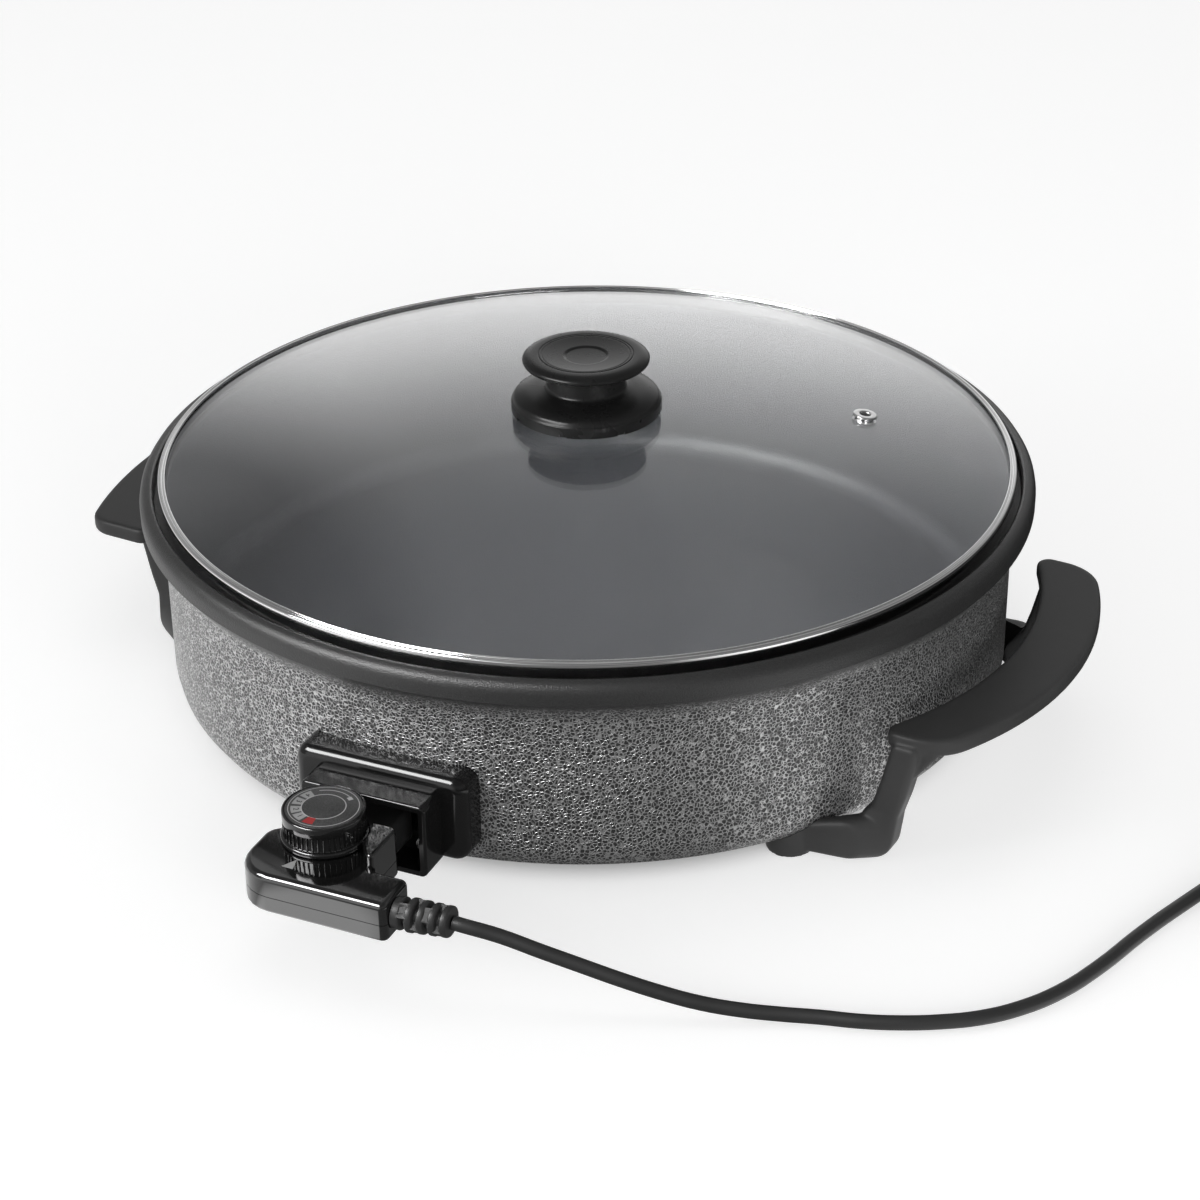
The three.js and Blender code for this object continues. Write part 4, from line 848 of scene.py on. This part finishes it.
def gathered(forms):
    """The forms side by side in one, not joined."""
    whole = bmesh.new()
    for form in forms:
        part = bpy.data.meshes.new("part")
        form.to_mesh(part)
        form.free()
        whole.from_mesh(part)
        bpy.data.meshes.remove(part)
    return whole


def fused(forms, grain, passes):
    """One skin round forms that overlap, eased where they meet."""
    target = linked("target", gathered(forms))
    skin = target.modifiers.new("skin", "REMESH")
    skin.mode = "VOXEL"
    skin.voxel_size = grain
    easing = target.modifiers.new("easing", "SMOOTH")
    easing.factor = 0.5
    easing.iterations = passes
    return settled(target)


def roller(middle, radius, half_width):
    """A short round bar lying along Y, its two rims softened."""
    form = rod(radius, -half_width, half_width, 40)
    soften(form, level_edges(form), 0.002, 3)
    return moved(turned(form, 90, "X"), middle)


def handle(bow, corner, side_y, inset, elbow, degrees):
    pieces = [grip(bow, corner)]
    tools = []
    for side in (-1, 1):
        y = side * side_y
        low = (0.2006 - inset, y, 0.024), (*leg_half, 0.004), leg_corner
        high = (0.2092 - inset, y, 0.0575), (*leg_half, 0.0032), leg_corner
        middle = (0.2042 - inset, y, 0.036), (*leg_half, 0.004), leg_corner
        pieces += limb([high, middle, low])
        heel = roller((0.1955 - inset, side * (side_y + 0.002), 0.0113), 0.0105, 0.0066)
        toe = roller((elbow[0], side * elbow[1], 0.0107), 0.0099, 0.0062)
        ankle = cushion(*low)
        sole_place = (foot_place[0] + 0.005, side * foot_place[1], 0.0092)
        sole = cushion(sole_place, (0.0050, 0.0058, 0.0070), 0.002)
        pieces += [drawn_round(ankle, heel), drawn_round(heel, toe), drawn_round(toe, sole)]
        for form in (ankle, heel, toe, sole):
            form.free()
        heel_web = [
            ((0.1965 - inset, side * (side_y + 0.0045), 0.0240), (0.002, 0.002, 0.002), 0.001),
            ((0.1905 - inset, side * (side_y + 0.0045), 0.0180), (0.002, 0.002, 0.002), 0.001),
        ]
        grip_web = [
            ((0.2115 - inset, y, 0.0455), (0.002, 0.0024, 0.002), 0.001),
            ((0.2195 - inset, y, 0.0575), (0.003, 0.0024, 0.002), 0.001),
        ]
        pieces += limb(heel_web) + limb(grip_web)
        foot = rod(foot_radius, 0, 0.0138, 64)
        pieces.append(moved(foot, (foot_place[0], side * foot_place[1], 0)))
        pocket_half = 0.0045, 0.013
        tools += limb(
            [
                ((0.1880 - inset, side * (side_y + 0.0005), 0.0205), (0.005, *pocket_half), 0.002),
                ((elbow[0] - 0.0095, side * (elbow[1] - 0.001), 0.0205), (0.004, *pocket_half), 0.002),
            ]
        )
        for radius, top in ((0.005, 0.0034), (0.0024, 0.0158)):
            hole = rod(radius, -0.002, top)
            tools.append(moved(hole, (foot_screw_place[0], side * foot_screw_place[1], 0)))
    whole = carved(fused(pieces, 0.0008, 6), tools)
    moved(turned(whole, degrees), (0, pan_y, 0))
    clearance = wall_radius + 0.0003
    clear = [(0, 0.0067), (clearance, 0.0067, 0.015), (clearance, 0.078), (0, 0.078)]
    return carved(whole, [lathe(clear, 192)])


matt_grey = moulded("matt_grey_moulding", 0.044, 0.44, 1500, 0.22, {"IOR": 1.22})
handle_shapes = {
    "handle_right": (0.176, 0.024, 0.088, 0, (0.186, 0.097), -5.6),
    "handle_left": (0.232, 0.014, 0.074, 0.0034, (0.177, 0.0865), 175),
}
for name, shaping in handle_shapes.items():
    finish(name + "_moulding", handle(*shaping), matt_grey, "base", [name], 50)
refinish(bright_steel, *[f"foot_screw_{i}" for i in (1, 2, 3, 4)])


# Lid glass
# A shallow dome of clear toughened glass, 4 mm thick, with a bore for the knob screw and one
# for the steam vent.
glass_edge = 0.2014
glass_top = 0.1355
glass_thickness = 0.004
glass_bore = 0.0055
dome_rise = 0.0219
dome_radius = (glass_edge ** 2 + dome_rise ** 2) / (2 * dome_rise)
vent_radial = 0.1336
vent_angle = math.radians(28.6)
vent_tip = math.asin(vent_radial / dome_radius)


def dome_z(radius):
    return glass_top - dome_radius + math.sqrt(dome_radius ** 2 - radius ** 2)


def at_vent(form):
    """Sets a form that was made about +Z on the glass at the vent, square to it."""
    tip = Matrix.Rotation(vent_tip, 4, "Y")
    out = Matrix.Translation((vent_radial, 0, dome_z(vent_radial)))
    about = Matrix.Translation((0, pan_y, 0)) @ Matrix.Rotation(vent_angle, 4, "Z")
    bmesh.ops.transform(form, matrix=about @ out @ tip, verts=form.verts)
    return form


glass_steps = 28
glass_step = (glass_edge - glass_bore) / glass_steps
radii = [glass_bore + glass_step * i for i in range(glass_steps + 1)]
glass_profile = [(r, dome_z(r)) for r in radii]
glass_profile += [(r, dome_z(r) - glass_thickness) for r in reversed(radii)]
glass_form = carved(lathe(glass_profile, 192), [at_vent(rod(0.0046, -0.008, 0.008, 48))])

clear_glass = Paint(
    "clear_glass", {"Base Color": (0.945, 0.945, 0.95, 1), "IOR": 1.5, "Transmission Weight": 1.0}
)
smear = clear_glass.noise(clear_glass.place(), 14, 3)
clear_glass.drive(Roughness=clear_glass.between(smear, 0.55, 0.8, 0.0, 0.02))
lamp_ray = clear_glass.node("ShaderNodeLightPath", output="Is Shadow Ray")
let_through = clear_glass.node("ShaderNodeBsdfTransparent", None, {"Color": (0.86, 0.88, 0.87, 1)})
glass_shader = Wire(clear_glass, clear_glass.shader.outputs[0])
both = clear_glass.node("ShaderNodeMixShader", None, {0: lamp_ray, 1: glass_shader, 2: let_through})
clear_glass.tree.links.new(both.socket, clear_glass.tree.nodes["Material Output"].inputs["Surface"])
finish("lid_glass_dome", glass_form, clear_glass, "lid", ["lid_glass"], 40)


# Lid rim band
# A ring rolled from thin polished stainless strip round the edge of the glass. Its skirt drops
# inside the pan's lip and stands on the shoulder.
band_top = rim_z + 0.008
band_radius = 0.2038
lap = glass_edge - 0.001
skirt_inner = 0.2017
shelf_z = dome_z(glass_edge) - glass_thickness - 0.0003
band_profile = [
    (lap, dome_z(lap) + 0.0003),
    (skirt_inner, dome_z(glass_edge) + 0.0003),
    (skirt_inner, shelf_z),
    (lap, shelf_z),
    (lap, shelf_z - 0.0006),
    (skirt_inner, shelf_z - 0.0006),
    (skirt_inner, 0.1033),
    (0.2023, 0.1033),
    (0.2023, band_top - 0.0036, 0.0006),
    (band_radius, band_top - 0.0034, 0.0009),
    (band_radius, band_top, 0.0012),
    (0.2025, band_top, 0.0005),
    (0.2021, band_top - 0.0008, 0.0003),
    (0.2014, band_top - 0.0008, 0.0003),
    (0.2011, band_top + 0.0002, 0.0003),
    (lap, band_top + 0.0002, 0.0003),
]
band_steel = Paint("polished_band", {"Metallic": 1.0})
swirl = band_steel.place((0, pan_y, 0), (1, 1, 12))
polish = band_steel.noise(swirl, 60, 4, 0.6)
band_steel.drive(
    Base_Color=band_steel.blend(polish, grey(0.76), grey(0.82)),
    Roughness=0.08 + polish * 0.015,
)
finish("lid_band", lathe(band_profile, 360), band_steel, "lid", ["lid_rim_band"], 40)


# Steam vent
# A small steel eyelet through the glass, its collar rolled over on both sides.
over = 0.0013
under = -glass_thickness - over
vent_profile = [
    (0.0026, over, 0.0006),
    (0.0058, over, 0.0005),
    (0.0058, 0.0003),
    (0.0043, 0.0003),
    (0.0043, -glass_thickness - 0.0003),
    (0.0058, -glass_thickness - 0.0003),
    (0.0058, under, 0.0005),
    (0.0026, under, 0.0006),
]
vent_form = at_vent(lathe(vent_profile, 48, (0, 0, 0)))
finish("vent_eyelet", vent_form, bright_steel, "lid", ["vent_grommet"])


# Lid knob
# Two black mouldings: a domed skirt with a plain band, eight small notches in its lower edge
# and a neck, and a round cap with a double groove and a shallow dish. One screw from below
# holds them through soft washers.
knob_z = glass_top + 0.0018
cap_z = knob_z + 0.023
skirt_profile = [
    (0.0027, knob_z),
    (0.013, knob_z),
    (0.013, knob_z + 0.006),
    (0.0331, knob_z + 0.0028),
    (0.0331, knob_z),
    (0.0357, knob_z, 0.0005),
    (0.0357, knob_z + 0.0052, 0.0004),
    (0.0352, knob_z + 0.0056, 0.0004),
    (0.0343, knob_z + 0.0075, 0.0008),
    (0.0305, knob_z + 0.0095, 0.003),
    (0.0250, knob_z + 0.0106, 0.002),
    (0.0187, knob_z + 0.0113, 0.0016),
    (0.0183, knob_z + 0.0227),
    (0.0158, knob_z + 0.0227),
    (0.0158, knob_z + 0.009),
    (0.0027, knob_z + 0.009),
]
notches = []
for i in range(8):
    notch = block((0.0345, -0.0019, knob_z - 0.001), (0.0375, 0.0019, knob_z + 0.0016))
    notches.append(moved(turned(notch, -84.1 + 45 * i), (0, pan_y, 0)))
skirt_form = carved(lathe(skirt_profile, 128), notches)
knob_plastic = moulded("knob_moulding", 0.011, 0.28, 900, 0.06, {"IOR": 1.28})
finish("knob_base", skirt_form, knob_plastic, "lid", ["knob_skirt"], 30)

cap_profile = [
    (0, cap_z - 0.0014),
    (0.0045, cap_z - 0.0014),
    (0.0045, cap_z - 0.0137),
    (0.0155, cap_z - 0.0137),
    (0.0155, cap_z),
    (0.0268, cap_z, 0.0015),
    (0.0301, cap_z + 0.0012, 0.0012),
    (0.0301, cap_z + 0.0032, 0.0012),
    (0.0272, cap_z + 0.0048, 0.0018),
    (0.0226, cap_z + 0.0049, 0.0003),
    (0.0223, cap_z + 0.0046, 0.0002),
    (0.0220, cap_z + 0.0049, 0.0002),
    (0.0212, cap_z + 0.0049, 0.0002),
    (0.0209, cap_z + 0.0046, 0.0002),
    (0.0206, cap_z + 0.0048, 0.0004),
    (0.0150, cap_z + 0.0042, 0.004),
    (0.0106, cap_z + 0.0040, 0.0012),
    (0.0094, cap_z + 0.0034, 0.0012),
    (0, cap_z + 0.0030),
]
finish("knob_top", lathe(cap_profile, 128), knob_plastic, "lid", ["knob_cap"], 40)

seal_rubber = moulded("seal_rubber", 0.02, 0.6, 900, 0.1)
refinish(seal_rubber, "gasket_upper", "gasket_lower")
refinish(bright_steel, "knob_washer", "knob_screw")
soft_brass = metal("soft_brass", 0.5, 0.3, 0.32)
refinish(soft_brass, "knob_insert")


# Controller shells
# Two glossy black mouldings that meet at a fine seam: a body with one well-rounded corner, and
# a raised neck with a round recess that the dial stands in.
seam = 0.0346
body_low = 0.0266
body_high = 0.045
neck_high = 0.050
dial_centre = (-0.0104, pan_y - 0.2498)
shell_front = pan_y - 0.2868
shell_waist = pan_y - 0.2646
shell_back = pan_y - 0.239
shell_outline = [
    (-0.0358, shell_front, 0.017),
    (0.0368, shell_front, 0.0032),
    (0.0368, shell_waist, 0.0032),
    (0.0186, shell_waist, 0.005),
    (0.0186, shell_back, 0.0032),
    (-0.0266, shell_back, 0.0032),
    (-0.0266, pan_y - 0.247, 0.004),
    (-0.0358, pan_y - 0.254, 0.004),
]


def half_shell(low, high, outer, edge):
    """One shell: the outline between two heights with only its outer face's edges softened."""
    form = upright(shell_outline, low, high)
    soften(form, level_edges(form, outer), edge, 6)
    return tidied(form)


def raised_block(corners):
    """A block on the upper shell with its top edges softened."""
    form = upright(corners, seam + 0.002, neck_high)
    soften(form, level_edges(form, neck_high), 0.0024, 5)
    return tidied(form)


def dial_rod(radius, low, high, steps):
    """A round bar on the dial's axis."""
    return moved(rod(radius, low, high, steps), (*dial_centre, 0))


upper = half_shell(seam + 0.0003, body_high, body_high, 0.003)
neck = raised_block(box_corners(-0.0266, 0.0186, pan_y - 0.2525, shell_back, 0.0032))
ridge = raised_block(
    [
        (0.0186, pan_y - 0.2640, 0.0030),
        (0.0186, pan_y - 0.2395, 0.0030),
        (0.0060, pan_y - 0.2395),
        (0.0060, pan_y - 0.2500),
        (0.0106, pan_y - 0.2559, 0.002),
        (0.0142, pan_y - 0.2614, 0.002),
    ]
)
upper = carved(upper, [neck, ridge], "UNION")
dial_ways = [dial_rod(0.0204, body_high, 0.06, 96), dial_rod(0.0038, 0.03, 0.05, 32)]
upper = carved(upper, dial_ways)
lower = half_shell(body_low, seam, body_low, 0.0018)
screw_ways = [
    moved(rod(0.0029, body_low - 0.002, body_low + 0.0036), (x, pan_y - y, 0))
    for x, y in ((-0.0256, 0.2766), (0.0266, 0.2766), (0.0116, 0.251))
]
lower = carved(lower, screw_ways)
gloss_black = polished("gloss_black_moulding", 0.004, 0.05)
for name, form, node in (
    ("controller_upper", upper, "controller_top_shell"),
    ("controller_lower", lower, "controller_bottom_shell"),
):
    finish(name, form, gloss_black, "controller", [node], 40, True)

pointer_form = bmesh.new()
pointer_corners = ((-0.0020, -0.0212), (-0.0056, -0.0275), (-0.0003, -0.0277))
pointer_form.faces.new(
    [
        pointer_form.verts.new((dial_centre[0] + x, dial_centre[1] + y, body_high))
        for x, y in pointer_corners
    ]
)
print_ink = moulded("print_ink", 0.42, 0.5, 900, 0.05)
finish(
    "dial_pointer", tidied(pulled_up(pointer_form, 0.00012)), print_ink, "controller", ()
)

refinish(bright_steel, "shell_screw_1", "shell_screw_2", "shell_screw_3", "probe_rod")
refinish(soft_brass, "contact_sleeve_left", "contact_sleeve_right")
refinish(pale_ceramic, "thermostat_mechanism")


# Controller nose
# A plain black block that carries the two contact sleeves and the heat probe. It slides into
# the hood.
nose_corners = box_corners(-0.0214, 0.0134, 0.0293, 0.0446, 0.0025)
nose_form = laid_back(upright(nose_corners, 0, 0.0244, 0.0006), pan_y - 0.2414)
nose_holes = [socket_rod(0.0043, 0, pan_y - 0.243, pan_y - 0.215)]
for side in (-1, 1):
    nose_holes.append(socket_rod(0.00405, side * pin_offset, pan_y - 0.2341, pan_y - 0.215))
nose_form = carved(nose_form, nose_holes)
nose_black = moulded("nose_moulding", 0.014, 0.3, 900, 0.1)
finish(
    "controller_nose_block",
    nose_form,
    nose_black,
    "controller",
    ["controller_nose"],
    30,
)


# Dial
# A glossy black cap with fine upright ribs round its lower half and a plain foot ring. It
# turns on the thermostat's spindle.
dial_low = body_high + 0.0003
dial_top = dial_low + 0.0139
rib_low = dial_low + 0.0022
rib_high = rib_low + 0.0064
rib_count = 46
crown_profile = [
    (0, dial_low + 0.008),
    (0.0152, dial_low + 0.008),
    (0.0152, dial_low),
    (0.019, dial_low, 0.0004),
    (0.019, rib_low - 0.0002, 0.0007),
    (0.0174, rib_low + 0.0002, 0.0003),
    (0.0172, rib_high),
    (0.0179, rib_high + 0.0004, 0.0003),
    (0.0179, dial_top, 0.0009),
    (0.0167, dial_top, 0.0002),
    (0.0167, dial_top - 0.0009),
    (0, dial_top - 0.0009),
]
ribs = []
for i in range(rib_count):
    rib = block((0.0168, -0.0004, rib_low), (0.0179, 0.0004, rib_high + 0.0002))
    soften(rib, [e for e in rib.edges if all(v.co.x > 0.0178 for v in e.verts)], 0.0003, 2)
    ribs.append(moved(turned(rib, 360 * i / rib_count), (*dial_centre, 0)))
dial_form = gathered([lathe(crown_profile, 144, (*dial_centre, 0)), *ribs])
dial_black = polished("dial_moulding", 0.005, 0.1, 0.3)
finish("dial_cap", dial_form, dial_black, "dial", ["dial"], 30)
refinish(bright_steel, "dial_shaft", "dial_clip")


# Dial plate
# A printed disc let into the top of the dial: two thin rings, four pale fields and a red one
# for the off position, a thin arc with a mark at its end, and plain numbers.
field_bearings = (-120, -148, -178, 153)
field_radius = 0.0116
plate_paint = Paint("dial_plate_print", {"Coat Weight": 0.3, "Coat Roughness": 0.1})
spot = plate_paint.place((*dial_centre, 0))
px, py, pz = plate_paint.parts(spot)
reach = (px * px + py * py) ** 0.5
bearing = plate_paint.node("ShaderNodeMath", {"operation": "ARCTAN2"}, {0: py, 1: px})


def near(value, centre, half, blur):
    """One within half of centre, and zero outside."""
    away = value.worked("ABSOLUTE", value - centre)
    return plate_paint.between(away, half + blur, half)


def field(degrees, half_degrees):
    """A stretch of the bearing, over the join at the back as well."""
    off = bearing - math.radians(degrees)
    wrapped = off.worked("ABSOLUTE", off.worked("WRAP", off, math.pi, -math.pi))
    return plate_paint.between(wrapped, math.radians(half_degrees) + 0.02, math.radians(half_degrees))


rings = near(reach, 0.0094, 0.00018, 0.0001).larger(near(reach, 0.0150, 0.00012, 0.0001))
track = near(reach, field_radius, 0.00225, 0.0001)
pale_fields = field(field_bearings[0], 11)
for degrees in field_bearings[1:]:
    pale_fields = pale_fields.larger(field(degrees, 11))
pale_fields = pale_fields * track
red_field = field(-92, 10) * track
sweep_arc = field(93, 33) * near(reach, 0.0127, 0.00016, 0.0001)
end_mark = field(53, 5) * near(reach, 0.0122, 0.0010, 0.0001)
pale = rings.larger(sweep_arc).larger(end_mark)
dust = plate_paint.noise(spot, 2200, 3)
base = plate_paint.blend(plate_paint.between(dust, 0.4, 0.6), grey(0.03), grey(0.08))
base = plate_paint.blend(pale_fields, base, grey(0.40))
base = plate_paint.blend(pale, base, grey(0.55))
plate_paint.drive(
    Base_Color=plate_paint.blend(red_field, base, (0.42, 0.02, 0.02, 1)),
    Roughness=0.3 + dust * 0.1,
)
plate_low = dial_top - 0.0006
plate_profile = [(0, plate_low), (0.0164, plate_low), (0.0164, dial_top, 0.0002), (0, dial_top)]
plate_form = lathe(plate_profile, 96, (*dial_centre, 0))
finish("dial_plate_disc", plate_form, plate_paint, "dial", ["dial_plate"], 30)

number_ink = moulded("number_ink", 0.02, 0.5, 900, 0.02)
for number, degrees in zip("1234", field_bearings):
    words = bpy.data.curves.new("figure_" + number, "FONT")
    words.body = number
    words.size = 0.0034
    words.align_x = "CENTER"
    words.align_y = "CENTER"
    words.extrude = 0.00004
    written = bpy.data.objects.new("written", words)
    scene.collection.objects.link(written)
    figure = settled(written)
    moved(turned(figure, 90), (field_radius, 0, dial_top + 0.00004))
    moved(turned(figure, degrees), (*dial_centre, 0))
    finish("dial_figure_" + number, figure, number_ink, "dial", (), 30)


# Strain relief
# A rubber sleeve moulded on the cord: a plain root, then four rings with windows between them,
# each ring tied to the next on two sides.
relief_root = Vector((0.0368, pan_y - 0.2774, 0.0364))
relief_length = 0.0232
relief_rings = 4
relief_low = 0.0042
lean_y = 0.0045 / relief_length
lean_z = -0.0016 / relief_length
relief_lean = Matrix(((1, 0, 0, 0), (lean_y, 1, 0, 0), (lean_z, 0, 1, 0), (0, 0, 0, 1)))
sleeve_core = 0.0044
sleeve_profile = [(0, 0.0003), (0.0068, 0.0003), (0.0072, 0.0038, 0.0008), (sleeve_core, relief_low)]
ties = []
pitch = (relief_length - relief_low) / relief_rings
for i in range(relief_rings):
    gap_low = relief_low + i * pitch
    gap_high = gap_low + pitch * 0.4
    ring_high = gap_low + pitch
    outer = 0.0074 - 0.0006 * i / 3
    sleeve_profile += [(sleeve_core, gap_high), (outer, gap_high, 0.0008), (outer, ring_high, 0.0008)]
    if i < relief_rings - 1:
        sleeve_profile.append((sleeve_core, ring_high))
    for half_turn in (0, 180):
        tie = block((0.003, -0.0032, gap_low - 0.0012), (outer - 0.0006, 0.0032, gap_high + 0.0012))
        ties.append(turned(tie, half_turn + 45 + 90 * (i % 2)))
sleeve_profile.append((0, relief_length))
relief_form = turned(carved(lathe(sleeve_profile, 64, (0, 0, 0)), ties, "UNION"), 90, "Y")
bmesh.ops.transform(
    relief_form, matrix=Matrix.Translation(relief_root) @ relief_lean, verts=relief_form.verts
)
relief_rubber = moulded("relief_rubber", 0.022, 0.4, 900, 0.12)
finish("strain_sleeve", relief_form, relief_rubber, "controller", ["strain_relief"], 30)


# Coil tie
# A soft black band that holds the turns of the coil together.
refinish(seal_rubber, "cord_tie")


# Plug
# A moulded round plug with two pins, two earth clips and a tapered sleeve, lying on one of
# its flats beside the coil.
plug_yaw = math.atan2(coil_out.y, coil_out.x)
plug_length = 0.063
plug_radius = 0.0186
pin_reach = 0.0095
plug_profile = [
    (0, 0),
    (0.0046, 0, 0.0006),
    (0.0060, 0.010),
    (0.0084, 0.024, 0.002),
    (0.0150, 0.0262, 0.002),
    (plug_radius, 0.031, 0.002),
    (plug_radius, 0.048, 0.0005),
    (0.0180, 0.0488),
    (plug_radius, 0.0496, 0.0005),
    (plug_radius, plug_length, 0.0012),
    (0, plug_length),
]


def at_plug(form):
    """Lays a form that was made about +Z along the plug's own line."""
    over_side = Matrix.Rotation(math.radians(90), 4, "Y")
    along_tail = Matrix.Rotation(plug_yaw, 4, "Z")
    bmesh.ops.transform(
        form, matrix=Matrix.Translation(plug_start) @ along_tail @ over_side, verts=form.verts
    )
    return tidied(form)


plug_ways = []
for side in (-1, 1):
    flat = side * 0.0171
    plug_ways.append(block((flat - 0.0017, -0.022, -0.002), (flat + 0.0017, 0.022, 0.066)))
for side in (-1, 1):
    plug_ways.append(moved(rod(0.0027, 0.0547, 0.066), (0, side * pin_reach, 0)))
    plug_ways.append(
        block((side * 0.0154 - 0.0026, -0.0024, 0.0487), (side * 0.0154 + 0.0026, 0.0024, 0.066))
    )
plug_form = at_plug(carved(lathe(plug_profile, 96, (0, 0, 0)), plug_ways))
plug_black = moulded("plug_moulding", 0.018, 0.4, 900, 0.1)
finish("plug_moulding", plug_form, plug_black, "controller", ["plug_body"], 30)
for side, end in ((-1, "left"), (1, "right")):
    pin_profile = [(0, 0.055), (0.0024, 0.055), (0.0024, 0.082, 0.0016), (0, 0.082)]
    pin_form = at_plug(lathe(pin_profile, 40, (0, side * pin_reach, 0)))
    finish(f"mains_pin_{end}", pin_form, bright_steel, "controller", [f"plug_pin_{end}"])
refinish(bright_steel, "plug_earth_clip_upper", "plug_earth_clip_lower")
